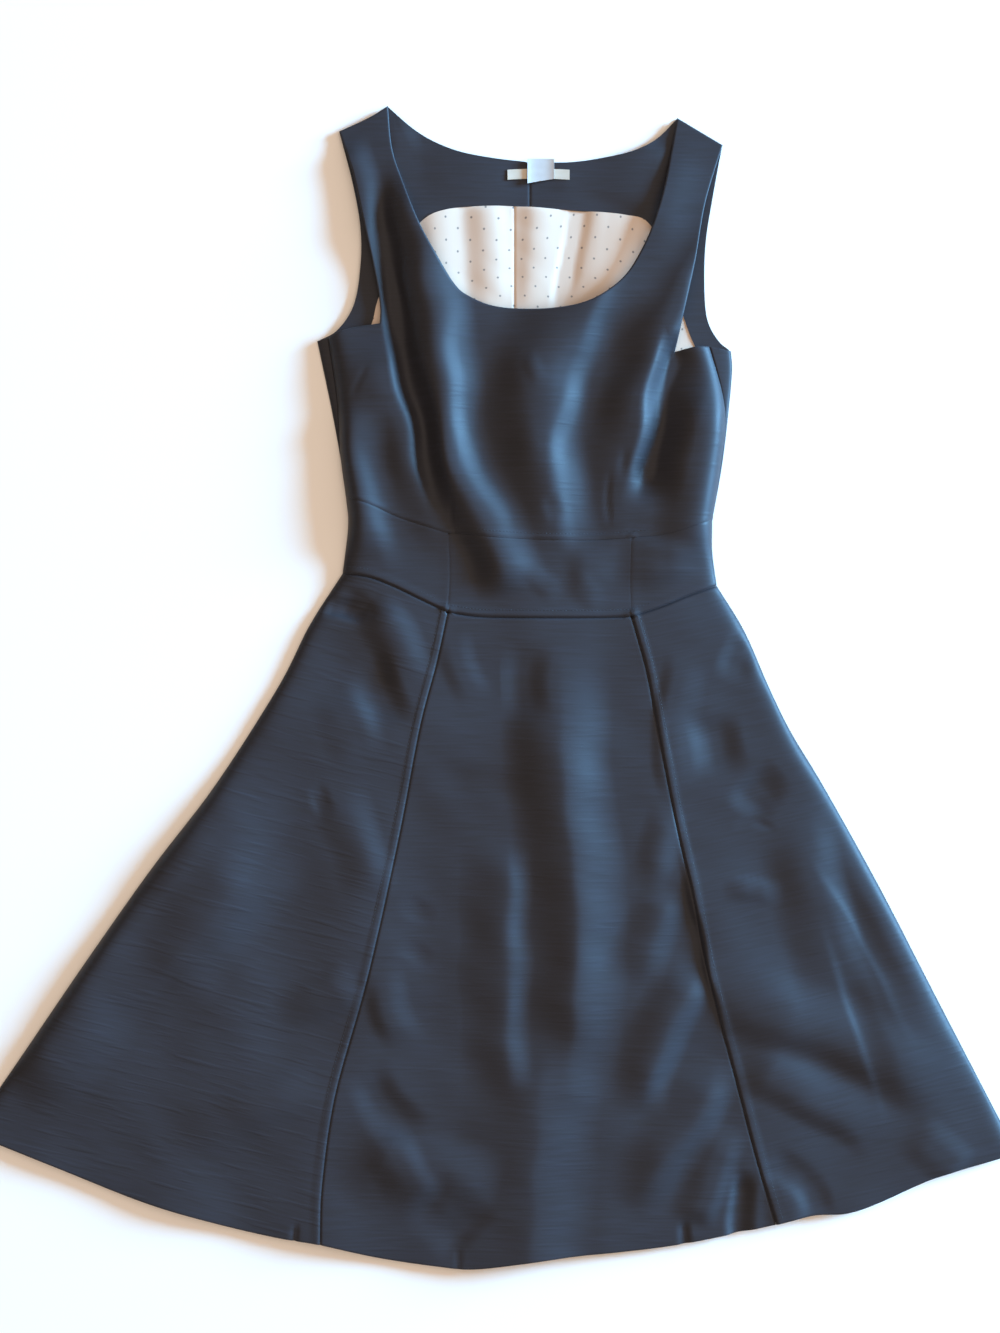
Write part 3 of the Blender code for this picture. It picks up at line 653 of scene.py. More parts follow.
def fold_height(fold, points):
    """How far a fold lifts or lowers each point."""
    reach = max(fold.left, fold.right) * MM
    distance, on_right, share = near(smooth_curve(fold.route, 6), points, reach)
    reach = np.where(on_right, fold.right, fold.left) * MM
    rounded = min(CREST_RADIUS, CREST_SHARE * min(fold.left, fold.right)) * MM
    distance = np.sqrt(distance**2 + rounded**2) - rounded
    across = np.clip(distance / reach, 0, 1)
    soft = np.cos(np.pi / 2 * across) ** 2
    pointed = (1 - across) ** 2
    profile = soft + (pointed - soft) * fold.point
    fade_in = ease(share / fold.fade_in) if fold.fade_in else 1.0
    fade_out = ease((1 - share) / fold.fade_out) if fold.fade_out else 1.0
    return fold.height * MM * profile * fade_in * fade_out


def seam_height(seam, points):
    """The groove, the pressed allowance beside it and the dent of its topstitching."""
    distance, positive, _ = near(edge(seam.edge), points, 2 * seam.width * MM)
    distance = distance / MM
    groove = -seam.depth * np.exp(-((distance / GROOVE_WIDTH) ** 2))
    pressed = positive == (seam.side > 0)
    ridge = seam.rise * ease((seam.width - distance) / ALLOWANCE_FADE + 0.5) * pressed
    dent = 0.0
    if seam.stitch:
        dent = -STITCH_DENT * np.exp(-(((distance - seam.stitch) / STITCH_DENT_WIDTH) ** 2)) * pressed
    return (groove + ridge + dent) * MM


def inner_groove(lie, seam, points):
    """The groove of an inner layer's seam."""
    distance, _, _ = near(seam, points, 5 * lie.width * MM)
    return -lie.groove * MM * np.exp(-((distance / (lie.width * MM)) ** 2))


def turned_height(row, points):
    """An edge turns down by a quarter round."""
    distance, _, _ = near(edge(row.edge), points, row.width * MM)
    across = 1 - np.clip(distance / (row.width * MM), 0, 1)
    return -row.drop * MM * (1 - np.sqrt(1 - across**2))


def rumpled(rumple, points):
    """The unevenness at each point, from a few waves in seeded directions."""
    random = np.random.default_rng(rumple.seed)
    total = np.zeros(len(points))
    for _ in range(rumple.waves):
        heading = random.uniform(0, math.pi)
        wave = random.uniform(rumple.shortest, rumple.longest) * MM
        phase = random.uniform(0, 2 * math.pi)
        direction = np.array([math.cos(heading), math.sin(heading)])
        total += np.sin(points @ direction * 2 * math.pi / wave + phase)
    return rumple.height * MM * total / math.sqrt(rumple.waves)


def front_height(points):
    """The height of the front's upper surface."""
    sizes = bpy.context.scene.dress_sizes
    up = points[:, 1] / MM
    rows = sorted(LEVELS)
    heights = [row.up for row in rows]
    seat = np.interp(up, heights, [row.seat for row in rows]) * MM
    loft = np.interp(up, heights, [row.loft for row in rows]) * MM
    reach = 16 * sizes.rounding
    inside = np.min([near(edge(name), points, reach)[0] for name in OUTLINE], axis=0)
    held = 1 - np.exp(-inside / sizes.rounding)
    wander = np.column_stack([rumpled(rumple, points) for rumple in WANDER])
    folds = sum(fold_height(fold, points + wander) for fold in FRONT_FOLDS)
    uneven = sum(rumpled(rumple, points) for rumple in FRONT_RUMPLES)
    draped = np.maximum(0, (loft + folds + uneven) * held)
    sewn = sum(seam_height(seam, points) for seam in SEAMS)
    turned = np.min([turned_height(row, points) for row in TURNED], axis=0)
    return seat + sizes.cad_cloth + draped + sewn + turned


def patch(bottom, top, left, right, u, v):
    """A Coons patch: a grid of points between four edges that share their corners."""
    u = u[None, :, None]
    v = v[:, None, None]
    upright = (1 - v) * bottom[None] + v * top[None]
    sideways = (1 - u) * left[:, None] + u * right[:, None]
    lower = (1 - u) * bottom[0] + u * bottom[-1]
    upper = (1 - u) * top[0] + u * top[-1]
    return upright + sideways - (1 - v) * lower - v * upper


def panel(bottom, top, left, right, spacing, close=("left", "right", "bottom", "top")):
    """A patch between four whole curves, with rows and columns at the same shares of each."""
    width = max(run_of(bottom)[-1], run_of(top)[-1])
    height = max(run_of(left)[-1], run_of(right)[-1])
    u = spread(width, spacing, "left" in close, "right" in close)
    v = spread(height, spacing, "bottom" in close, "top" in close)
    edges = (at_shares(bottom, u), at_shares(top, u), at_shares(left, v), at_shares(right, v))
    return patch(*edges, u, v)


def drawn_in(grid, sides, by):
    """The grid with this much cut off at the named sides, and its lines spread over the rest."""
    for side in sides:
        lines = grid if side in SIDES else grid.transpose(1, 0, 2)
        lines = lines[:, ::-1] if side in ("right", "top") else lines
        spread_out = []
        for line in lines:
            along = run_of(line)
            shares = along / along[-1]
            cut = by / along[-1]
            spread_out.append(at_shares(line, cut + (1 - cut) * shares))
        lines = np.array(spread_out)
        lines = lines[:, ::-1] if side in ("right", "top") else lines
        grid = lines if side in SIDES else lines.transpose(1, 0, 2)
    return grid


def quads(rows, columns, first):
    """The faces of a grid whose points are numbered row by row from first."""
    corner = np.arange(rows * columns).reshape(rows, columns)[:-1, :-1].ravel() + first
    return np.column_stack([corner, corner + 1, corner + columns + 1, corner + columns])


def crisp_border(mesh):
    """Marks the mesh's open edges sharp, so that a wall added there doesn't shade the cloth beside it."""
    edge_of = np.empty(len(mesh.loops), np.int32)
    mesh.loops.foreach_get("edge_index", edge_of)
    border = np.bincount(edge_of, minlength=len(mesh.edges)) == 1
    mesh.attributes.new("sharp_edge", "BOOLEAN", "EDGE").data.foreach_set("value", border)


def sewn_mesh(name, grids):
    """One mesh of several grids of points in space, with their shared edges welded."""
    points = np.vstack([grid.reshape(-1, 3) for grid in grids])
    firsts = np.cumsum([0] + [grid.shape[0] * grid.shape[1] for grid in grids])
    faces = np.vstack([quads(*grid.shape[:2], first) for grid, first in zip(grids, firsts)])
    if len(grids) > 1:
        places = np.round(points[:, :2] / WELD_DISTANCE).astype(np.int64)
        _, first_of, number = np.unique(places, axis=0, return_index=True, return_inverse=True)
        points = points[first_of]
        faces = number.reshape(-1)[faces]
    whole = np.array([len(set(face)) == 4 for face in faces.tolist()])
    mesh = bpy.data.meshes.new(name)
    mesh.from_pydata(points.tolist(), [], faces[whole].tolist())
    mesh.validate()
    mesh.shade_smooth()
    crisp_border(mesh)
    return mesh


def lifted(grid, height):
    """The flat grid with a height at each point: a number, or a function of the points."""
    flat = grid.reshape(-1, 2)
    z = height(flat) if callable(height) else np.full(len(flat), height)
    return np.column_stack([flat, z]).reshape(*grid.shape[:2], 3)


def cut_size(grids, tall=None):
    """Width, length and area of the cut that makes these grids, with their folds opened out.

    tall lists the grids whose columns follow one another up the piece."""
    rows = [np.linalg.norm(np.diff(grid, axis=1), axis=2).sum(axis=1).max() for grid in grids]
    columns = [np.linalg.norm(np.diff(grid, axis=0), axis=2).sum(axis=0).max() for grid in grids]
    area = 0.0
    for grid in grids:
        a, b, c, d = grid[:-1, :-1], grid[:-1, 1:], grid[1:, 1:], grid[1:, :-1]
        area += np.linalg.norm(np.cross(c - a, d - b), axis=2).sum() / 2
    length = sum(columns[index] for index in tall) if tall else max(columns)
    return max(float(max(rows)), LEAST_FLAT), max(float(length), LEAST_FLAT), float(area)


def shown(obj, finish, nodes):
    """The piece takes its material, its place in the frame and the nodes that it stands for."""
    obj.data.materials.append(finish)
    bpy.context.scene.collection.objects.link(obj)
    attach(obj, BODY)
    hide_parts(*nodes)
    return obj


def cloth(name, grids, wall, finish, slot, rests_on, tall=None):
    """A panel: its grids sewn into one sheet with a wall below, and its cut's size measured."""
    obj = bpy.data.objects.new(name + "_cloth", sewn_mesh(name, grids))
    shown(obj, finish, (name,))
    thick = obj.modifiers.new("Wall", "SOLIDIFY")
    thick.thickness = wall
    thick.offset = -1.0
    width, length, area = cut_size(grids, tall)
    area = min(area, width * length)
    return obj


def feed(tree, node, inputs):
    """Links each input, by name or number, to a socket or a node's first output, or sets its value."""
    for key, value in inputs.items():
        value = value.outputs[0] if isinstance(value, bpy.types.Node) else value
        if isinstance(value, bpy.types.NodeSocket):
            tree.links.new(value, node.inputs[key])
        else:
            node.inputs[key].default_value = value


def add(tree, kind, inputs=None, **settings):
    """Adds a node with its settings, and links or sets its inputs."""
    node = tree.nodes.new(kind)
    for key, value in settings.items():
        setattr(node, key, value)
    feed(tree, node, inputs or {})
    return node


def new_material(name):
    """A material with a bare shader: (material, tree, shader)."""
    made = bpy.data.materials.new(name)
    made.use_nodes = True
    tree = made.node_tree
    tree.nodes.clear()
    shader = add(tree, "ShaderNodeBsdfPrincipled")
    add(tree, "ShaderNodeOutputMaterial", {"Surface": shader.outputs["BSDF"]})
    return made, tree, shader


def colour4(colour):
    """The colour with full alpha, as a socket takes it."""
    return (*colour, 1.0)


def grain(tree, place, length, height, detail, roughness=0.5):
    """Noise whose spots are this long and high on the cloth."""
    scaled = add(tree, "ShaderNodeMapping", {"Vector": place, "Scale": (1 / length, 1 / height, 1.0)})
    values = {"Vector": scaled, "Scale": 1.0, "Detail": detail, "Roughness": roughness}
    return add(tree, "ShaderNodeTexNoise", values, noise_dimensions="2D")


def suiting(name, angle, ripple):
    """Smooth worsted suiting in a plain weave, pressed: a soft lustre, and slubs along the weft.

    angle is how far the weft turns from level, and ripple how strongly it shows."""
    finish = bpy.context.scene.dress_finish
    made, tree, shader = new_material(name)
    place = add(tree, "ShaderNodeTexCoord").outputs["Object"]
    turned = add(tree, "ShaderNodeMapping", {"Vector": place, "Rotation": (0.0, 0.0, -angle)})
    # slubs: thicker stretches of yarn, coarser than the real 0.5 mm so that they show
    slub = grain(tree, turned, length=40 * MM, height=2 * MM, detail=2.0, roughness=0.55)
    streak = add(tree, "ShaderNodeMapRange", {"Value": slub, "From Min": 0.35, "From Max": 0.7})
    colours = {MIX_FIRST: colour4(finish.suiting), MIX_SECOND: colour4(finish.suiting_slub)}
    colour = add(tree, "ShaderNodeMix", {"Factor": streak, **colours}, data_type="RGBA")
    rough = add(tree, "ShaderNodeMapRange", {"Value": slub, "To Min": 0.52, "To Max": 0.62})
    # the weft's slight ripples, showing only where they are strongest
    wave = grain(tree, turned, length=55 * MM, height=6 * MM, detail=1.5)
    strongest = add(
        tree, "ShaderNodeMapRange", {"Value": wave, "From Min": 0.5, "From Max": 0.8},
        interpolation_type="SMOOTHSTEP",
    )
    waved = add(tree, "ShaderNodeBump", {"Height": strongest, "Strength": ripple, "Distance": 0.9 * MM})
    woven = add(
        tree, "ShaderNodeBump",
        {"Height": slub, "Normal": waved, "Strength": 0.08, "Distance": 0.2 * MM},
    )
    feed(tree, shader, {
        "Base Color": colour.outputs[MIX_RESULT], "Roughness": rough, "Normal": woven,
        "Sheen Weight": 0.08, "Sheen Roughness": 0.4, "Specular IOR Level": 0.3,
    })
    return made


def sewing_thread(name):
    """Polyester sewing thread, spun and slightly waxed: a small gloss on each stitch."""
    thread = bpy.context.scene.dress_finish.thread
    made, tree, shader = new_material(name)
    place = add(tree, "ShaderNodeTexCoord").outputs["Object"]
    # the spun fibres' fuzz, drawn 1.1 mm wide: the real one is too fine to show
    fuzz = add(
        tree, "ShaderNodeTexNoise", {"Vector": place, "Scale": 1 / (1.1 * MM), "Detail": 1.0}
    )
    colours = {MIX_FIRST: (*(0.75 * value for value in thread), 1.0), MIX_SECOND: colour4(thread)}
    colour = add(tree, "ShaderNodeMix", {"Factor": fuzz, **colours}, data_type="RGBA")
    feed(tree, shader, {"Base Color": colour.outputs[MIX_RESULT], "Roughness": 0.45})
    return made


def draped_place(tree, place, spacing, pull):
    """Places on the cloth, pulled off their lines where it drapes, by up to half of pull."""
    noise = add(
        tree, "ShaderNodeTexNoise", {"Vector": place, "Scale": 1 / spacing, "Detail": 0.0},
        noise_dimensions="2D",
    )
    centred = add(
        tree, "ShaderNodeVectorMath", {0: noise.outputs["Color"], 1: (0.5, 0.5, 0.5)}, operation="SUBTRACT"
    )
    drape = add(tree, "ShaderNodeVectorMath", {0: centred, "Scale": pull}, operation="SCALE")
    return add(tree, "ShaderNodeVectorMath", {0: place, 1: drape}, operation="ADD")


def from_dot(tree, place, across, down):
    """How far a place is from the nearest dot: columns of dots, every other one dropped by half."""
    cells = add(tree, "ShaderNodeVectorMath", {0: place, 1: (across, down, 1.0)}, operation="DIVIDE")
    split = add(tree, "ShaderNodeSeparateXYZ", {"Vector": cells})
    column = add(tree, "ShaderNodeMath", {0: split.outputs["X"]}, operation="FLOOR")
    dropped = add(
        tree, "ShaderNodeMath", {0: column, 1: 0.5, 2: split.outputs["Y"]}, operation="MULTIPLY_ADD"
    )
    joined = add(tree, "ShaderNodeCombineXYZ", {"X": split.outputs["X"], "Y": dropped})
    inside = add(tree, "ShaderNodeVectorMath", {0: joined}, operation="FRACTION")
    centred = add(tree, "ShaderNodeVectorMath", {0: inside, 1: (0.5, 0.5, 0.0)}, operation="SUBTRACT")
    off = add(tree, "ShaderNodeVectorMath", {0: centred, 1: (across, down, 0.0)}, operation="MULTIPLY")
    return add(tree, "ShaderNodeVectorMath", {0: off}, operation="LENGTH").outputs["Value"]


def dotted_lining(name):
    """Polyester lining, woven smooth and printed with pin dots in a half drop: a silky gloss."""
    sizes = bpy.context.scene.dress_sizes
    finish = bpy.context.scene.dress_finish
    made, tree, shader = new_material(name)
    place = add(tree, "ShaderNodeTexCoord").outputs["Object"]
    draped = draped_place(tree, place, spacing=91 * MM, pull=16 * MM)
    distance = from_dot(tree, draped, sizes.dot_across, sizes.dot_down)
    dot = add(tree, "ShaderNodeMapRange", {
        "Value": distance, "From Min": sizes.dot_radius * 2 / 3, "From Max": sizes.dot_radius * 4 / 3,
        "To Min": 1.0, "To Max": 0.0,
    })
    colours = {MIX_FIRST: colour4(finish.lining), MIX_SECOND: colour4(finish.dot)}
    colour = add(tree, "ShaderNodeMix", {"Factor": dot, **colours}, data_type="RGBA")
    # the warp's fine lines, drawn 1.1 mm apart: the real ones are too fine to show
    weave = grain(tree, place, length=1.1 * MM, height=17 * MM, detail=1.0)
    woven = add(tree, "ShaderNodeBump", {"Height": weave, "Strength": 0.08, "Distance": 0.2 * MM})
    feed(tree, shader, {
        "Base Color": colour.outputs[MIX_RESULT], "Normal": woven, "Roughness": 0.4, "Sheen Weight": 0.1,
    })
    return made


def ribbon(name, colour, ribs, roughness):
    """A narrow woven ribbon, with ribs across it: a faint ladder of shine.

    ribs is how far apart they are drawn, since the real 0.5 mm is too fine to show."""
    made, tree, shader = new_material(name)
    place = add(tree, "ShaderNodeTexCoord").outputs["Object"]
    # at a scale of 1, the node's bands are pi / 10 apart
    ribbed = add(
        tree, "ShaderNodeTexWave", bands_direction="Y",
        inputs={"Vector": place, "Scale": math.pi / 10 / ribs, "Distortion": 0.6, "Detail": 1.0},
    )
    worn = add(
        tree, "ShaderNodeTexNoise", {"Vector": place, "Scale": 1 / (6.25 * MM), "Detail": 2.0}
    )
    colours = {MIX_FIRST: (*(0.9 * value for value in colour), 1.0), MIX_SECOND: colour4(colour)}
    shade = add(tree, "ShaderNodeMix", {"Factor": worn, **colours}, data_type="RGBA")
    relief = {"Height": ribbed.outputs["Fac"], "Strength": 0.35, "Distance": 0.2 * MM}
    feed(tree, shader, {
        "Base Color": shade.outputs[MIX_RESULT], "Roughness": roughness,
        "Normal": add(tree, "ShaderNodeBump", relief),
    })
    return made


def board(name):
    """Matt painted board, rolled: an even white with hardly any tooth."""
    made, tree, shader = new_material(name)
    place = add(tree, "ShaderNodeTexCoord").outputs["Object"]
    # the roller's tooth, drawn 8.3 mm wide: the real one is too fine to show
    tooth = add(
        tree, "ShaderNodeTexNoise", {"Vector": place, "Scale": 1 / (8.3 * MM), "Detail": 3.0}
    )
    feed(tree, shader, {
        "Base Color": colour4(bpy.context.scene.dress_stage.floor), "Roughness": 0.9,
        "Specular IOR Level": 0.1,
        "Normal": add(tree, "ShaderNodeBump", {"Height": tooth, "Strength": 0.05, "Distance": 0.5 * MM}),
    })
    return made


def once(name, make, **values):
    """The material of this name, made when it is first asked for."""
    return bpy.data.materials.get(name) or make(name, **values)


def plain_suiting():
    """The suiting with its weft across, as most panels have it."""
    return once("worsted suiting", suiting, angle=0.0, ripple=0.12)


class Piece(bpy.types.Operator):
    """Shared by the operators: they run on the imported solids, and need no selection."""

    bl_options = {"REGISTER", "UNDO"}


class DRESS_OT_front_bodice(Piece):
    """Makes the front bodice, with its straps, darts and bust folds."""

    bl_idname = "dress.front_bodice"
    bl_label = "Front bodice"

    # The top edge below the straps, and whether the columns lie closer at each stretch's two ends
    TOP_EDGE = (
        ("underarm left", True, False),
        ("strap base left", True, True),
        ("neck middle", False, False),
        ("strap base right", True, True),
        ("underarm right", False, True),
    )

    def execute(self, context):
        sizes = context.scene.dress_sizes
        shares = {
            name: spread(edge_length(name), sizes.grid, close_start, close_end)
            for name, close_start, close_end in self.TOP_EDGE
        }
        top = chain(*(edge(name, found) for name, found in shares.items()))
        u = run_of(top) / run_of(top)[-1]
        seam = chain(*(edge(f"top seam {place}") for place in PLACES))
        sides = [edge(f"front side {place}") for place in SIDES]
        v = spread(run_of(sides[0])[-1], sizes.grid)
        body = patch(at_shares(seam, u), top, at_shares(sides[0], v), at_shares(sides[1], v), u, v)
        body = drawn_in(body, ("bottom",), sizes.half_seam)
        grids = [body]
        for place, left, right in (
            ("left", "front armhole left", "neck left"),
            ("right", "neck right", "front armhole right"),
        ):
            across = shares[f"strap base {place}"]
            up = spread(edge_length(left), sizes.grid, False, True)
            edges = (
                edge(f"strap base {place}", across),
                edge(f"shoulder {place}", across),
                edge(left, up),
                edge(right, up),
            )
            grids.append(patch(*edges, across, up))
        grids = [lifted(grid, front_height) for grid in grids]
        rests_on = ["bodice_back_left_cloth", "bodice_back_right_cloth"]
        finish = plain_suiting()
        cloth("bodice_front", grids, sizes.cloth, finish, "navy_suiting", rests_on, tall=(0, 1))
        return {"FINISHED"}


def inner_sides(place):
    """The sides on which a piece of the band or skirt is sewn to its neighbour."""
    return {"left": ("right",), "middle": SIDES, "right": ("left",)}[place]


def between(place, upper, lower, sides, spacing, half_seam, sewn):
    """A panel of the front between two crosswise edges and its own two sides."""
    grid = panel(edge(f"{lower} {place}"), edge(f"{upper} {place}"), *sides, spacing)
    return lifted(drawn_in(grid, sewn, half_seam), front_height)


class DRESS_OT_front_band(Piece):
    """Makes the three front pieces of the waistband."""

    bl_idname = "dress.front_band"
    bl_label = "Front waistband"

    def execute(self, context):
        sizes = context.scene.dress_sizes
        names = ("band side left", "band seam left", "band seam right", "band side right")
        sides = [edge(name, flip=True) for name in names]
        for index, place in enumerate(PLACES):
            sewn = ("bottom", "top") + inner_sides(place)
            grid = between(
                place, "top seam", "waist", sides[index:index + 2], sizes.grid, sizes.half_seam, sewn
            )
            name = f"band_front_{place}"
            cloth(name, (grid,), sizes.cloth, plain_suiting(), "navy_suiting", ["band_back_cloth"])
        return {"FINISHED"}


class DRESS_OT_front_skirt(Piece):
    """Makes the skirt's middle panel and its two side gores."""

    bl_idname = "dress.front_skirt"
    bl_label = "Front skirt"

    def execute(self, context):
        sizes = context.scene.dress_sizes
        names = ("skirt side left", "skirt seam left", "skirt seam right", "skirt side right")
        sides = [edge(name, flip=True) for name in names]
        finishes = {
            "left": once("worsted suiting, left gore", suiting, angle=math.radians(-14), ripple=0.22),
            "middle": plain_suiting(),
            "right": once("worsted suiting, right gore", suiting, angle=math.radians(13), ripple=0.14),
        }
        for index, place in enumerate(PLACES):
            sewn = ("top",) + inner_sides(place)
            grid = between(place, "waist", "hem", sides[index:index + 2], sizes.grid, sizes.half_seam, sewn)
            name = f"skirt_front_{place}"
            cloth(name, (grid,), sizes.cloth, finishes[place], "navy_suiting", ["skirt_back_cloth"])
        return {"FINISHED"}


# The strips round the sides: their columns, and how far they end below the front's surface
WRAP_COLUMNS = 9
WRAP_TUCK = 0.2 * MM


def wrap_grid(place, sizes):
    """The strip of the back that comes round the side, from the outline up to the front's seam."""
    outline = edge(f"back side {place}")
    seam = edge(f"front side {place}")
    up = spread(run_of(outline)[-1], sizes.coarse_grid / 2, False, True)
    across = np.linspace(0, 1, WRAP_COLUMNS)
    out, on = at_shares(outline, up), at_shares(seam, up)
    flat = out[:, None] + (on - out)[:, None] * across[None, :, None]
    top = front_height(on) - WRAP_TUCK
    round_off = np.sqrt(1 - (1 - across) ** 2)
    z = sizes.cloth + (top - sizes.cloth)[:, None] * round_off[None]
    grid = np.concatenate([flat, z[..., None]], axis=2)
    return grid if place == "left" else grid[:, ::-1]


class DRESS_OT_back_panels(Piece):
    """Makes the back bodice's halves, the back waistband and the back skirt, flat on the floor."""

    bl_idname = "dress.back_panels"
    bl_label = "Back panels"

    def execute(self, context):
        sizes = context.scene.dress_sizes
        finish = plain_suiting()
        flat = sizes.cloth
        for place, centre in (("left", "right"), ("right", "left")):
            outline = chain(edge(f"back side {place}"), edge(f"back armhole {place}"))
            inner = chain(edge("back centre"), edge(f"back neck {place}"))
            sides = (outline, inner) if place == "left" else (inner, outline)
            grid = panel(edge(f"back seam {place}"), edge(f"shoulder {place}"), *sides, sizes.coarse_grid)
            grid = lifted(drawn_in(grid, ("bottom", centre), sizes.half_seam), flat)
            name = f"bodice_back_{place}"
            obj = cloth(name, (grid,), flat, finish, "navy_suiting", ["floor"])
            self.add_wrap(obj, place, sizes)
        waist = chain(*(edge(f"waist {place}") for place in PLACES))
        seam = chain(edge("back seam left"), edge("back seam right"))
        sides = [edge(f"band side {place}", flip=True) for place in SIDES]
        band = drawn_in(panel(waist, seam, *sides, sizes.coarse_grid), ("bottom", "top"), sizes.half_seam)
        cloth("band_back", (lifted(band, flat),), flat, finish, "navy_suiting", ["floor"])
        hem = chain(*(edge(f"hem {place}") for place in PLACES))
        sides = [edge(f"skirt side {place}", flip=True) for place in SIDES]
        skirt = drawn_in(panel(hem, waist, *sides, sizes.coarse_grid), ("top",), sizes.half_seam)
        cloth("skirt_back", (lifted(skirt, flat),), flat, finish, "navy_suiting", ["floor"])
        return {"FINISHED"}

    def add_wrap(self, obj, place, sizes):
        """Joins the strip round the side into the panel's mesh."""
        strip = wrap_grid(place, sizes)
        mesh = obj.data
        points = [tuple(vert.co) for vert in mesh.vertices]
        faces = [tuple(face.vertices) for face in mesh.polygons]
        faces += quads(*strip.shape[:2], len(points)).tolist()
        points += strip.reshape(-1, 3).tolist()
        mesh.clear_geometry()
        mesh.from_pydata(points, [], faces)
        mesh.shade_smooth()


class DRESS_OT_facings(Piece):
    """Makes the two halves of the facing inside the back neck and armholes."""

    bl_idname = "dress.facings"
    bl_label = "Back facings"

    def execute(self, context):
        sizes = context.scene.dress_sizes
        low = sizes.cad_cloth + sizes.gap + sizes.facing
        seam = edge("facing centre")
        for place in SIDES:
            outline = chain(
                edge(f"back armhole {place}"),
                edge(f"shoulder {place}", flip=place == "right"),
                edge(f"back neck {place}", flip=True),
            )
            ends = (edge(f"facing end {place}"), seam)
            grid = panel(edge(f"facing {place}"), outline, *ends, sizes.grid)
            grid = drawn_in(grid, ("left",), sizes.lining_inset)
            grid = drawn_in(grid, ("top",), sizes.edge_inset)
            grid = drawn_in(grid, ("bottom", "right"), sizes.half_seam)

            def height(points):
                folds = sum(fold_height(fold, points) for fold in FACING_FOLDS)
                relief = FACING_LIE.lift * MM + folds + rumpled(FACING_LIE.rumple, points)
                return low + np.maximum(0, relief) + inner_groove(FACING_LIE, seam, points)

            grid = lifted(grid, height)
            if place == "right":
                grid = grid[:, ::-1]
            name = f"facing_back_{place}"
            rests_on = [f"bodice_back_{place}_cloth"]
            cloth(name, (grid,), sizes.facing, plain_suiting(), "navy_suiting", rests_on)
        return {"FINISHED"}


class DRESS_OT_linings(Piece):
    """Makes the two halves of the dotted lining, with its soft pleats."""

    bl_idname = "dress.linings"
    bl_label = "Back lining"

    def execute(self, context):
        sizes = context.scene.dress_sizes
        low = sizes.cad_cloth + sizes.gap + sizes.lining
        finish = once("polyester lining", dotted_lining)
        seam = edge("lining seam")

        def height(points):
            folds = sum(fold_height(fold, points) for fold in LINING_FOLDS)
            relief = LINING_LIE.lift * MM + folds + np.abs(rumpled(LINING_LIE.rumple, points))
            return low + np.maximum(0, relief) + inner_groove(LINING_LIE, seam, points)

        left_top = edge("facing left")
        cut = left_top[:, 0] < seam[-1, 0]
        joint = np.array([seam[-1, 0], np.interp(seam[-1, 0], left_top[:, 0], left_top[:, 1])])
        tops = {
            "left": np.vstack([left_top[cut], joint]),
            "right": np.vstack([joint, left_top[~cut], edge("facing right", flip=True)[1:]]),
        }
        middle = np.array([seam[0], joint])
        for place in SIDES:
            side = edge(f"lining side {place}")
            foot = np.array([side[0], middle[0]])
            foot = foot if place == "left" else foot[::-1]
            sides = (side, middle) if place == "left" else (middle, side)
            grid = panel(foot, tops[place], *sides, sizes.grid)
            grid = drawn_in(grid, (place, "bottom"), sizes.lining_inset)
            other = "right" if place == "left" else "left"
            grid = drawn_in(grid, (other, "top"), sizes.half_seam)
            name = f"lining_back_{place}"
            rests_on = [f"bodice_back_{place}_cloth"]
            cloth(name, (lifted(grid, height),), sizes.lining, finish, "dotted_lining", rests_on)
        return {"FINISHED"}


LABEL_COLUMNS = 29
LABEL_ROWS = 13
BOW_WIDTH = 40 * MM


class DRESS_OT_labels(Piece):
    """Makes the woven neck label and the folded care label over it, both bare."""

    bl_idname = "dress.labels"
    bl_label = "Labels"

    def execute(self, context):
        wall = context.scene.dress_sizes.label
        finish = context.scene.dress_finish
        tape = once("rayon label tape", ribbon, colour=finish.tape, ribs=5.65 * MM, roughness=0.5)
        strip = self.ribbon_grid("neck_label", bow=0.8 * MM, lift=0.5 * MM, slant=0.0)
        rests_on = ["facing_back_left_cloth", "facing_back_right_cloth"]
        cloth("neck_label", (strip,), wall, tape, "woven_label", rests_on)
        satin = once("satin care ribbon", ribbon, colour=finish.satin, ribs=7.54 * MM, roughness=0.35)
        care = self.ribbon_grid("care_label", bow=0.5 * MM, lift=0.9 * MM, slant=4 * MM)
        cloth("care_label", (care,), wall, satin, "care_satin", ["neck_label_cloth"])
        return {"FINISHED"}

    def ribbon_grid(self, node, bow, lift, slant):
        """A ribbon in the room of its solid.

        It bows by bow where it is BOW_WIDTH wide, and more or less with its width. Its ends and
        lower edge are raised by lift, and its lower edge slants up to the right by slant."""
        low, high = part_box(node)
        width = high.x - low.x
        across, up = np.meshgrid(np.linspace(0, 1, LABEL_COLUMNS), np.linspace(0, 1, LABEL_ROWS))
        from_middle = np.abs(2 * across - 1)
        sag = bow * (0.5 - from_middle**2) * width / BOW_WIDTH
        x = low.x + width * across
        y = low.y + (high.y - low.y) * up + slant * across * (1 - up) + sag
        z = high.z + lift * (from_middle**3 + 0.5 * (1 - up) ** 2)
        return np.stack([x, y, z], axis=2)


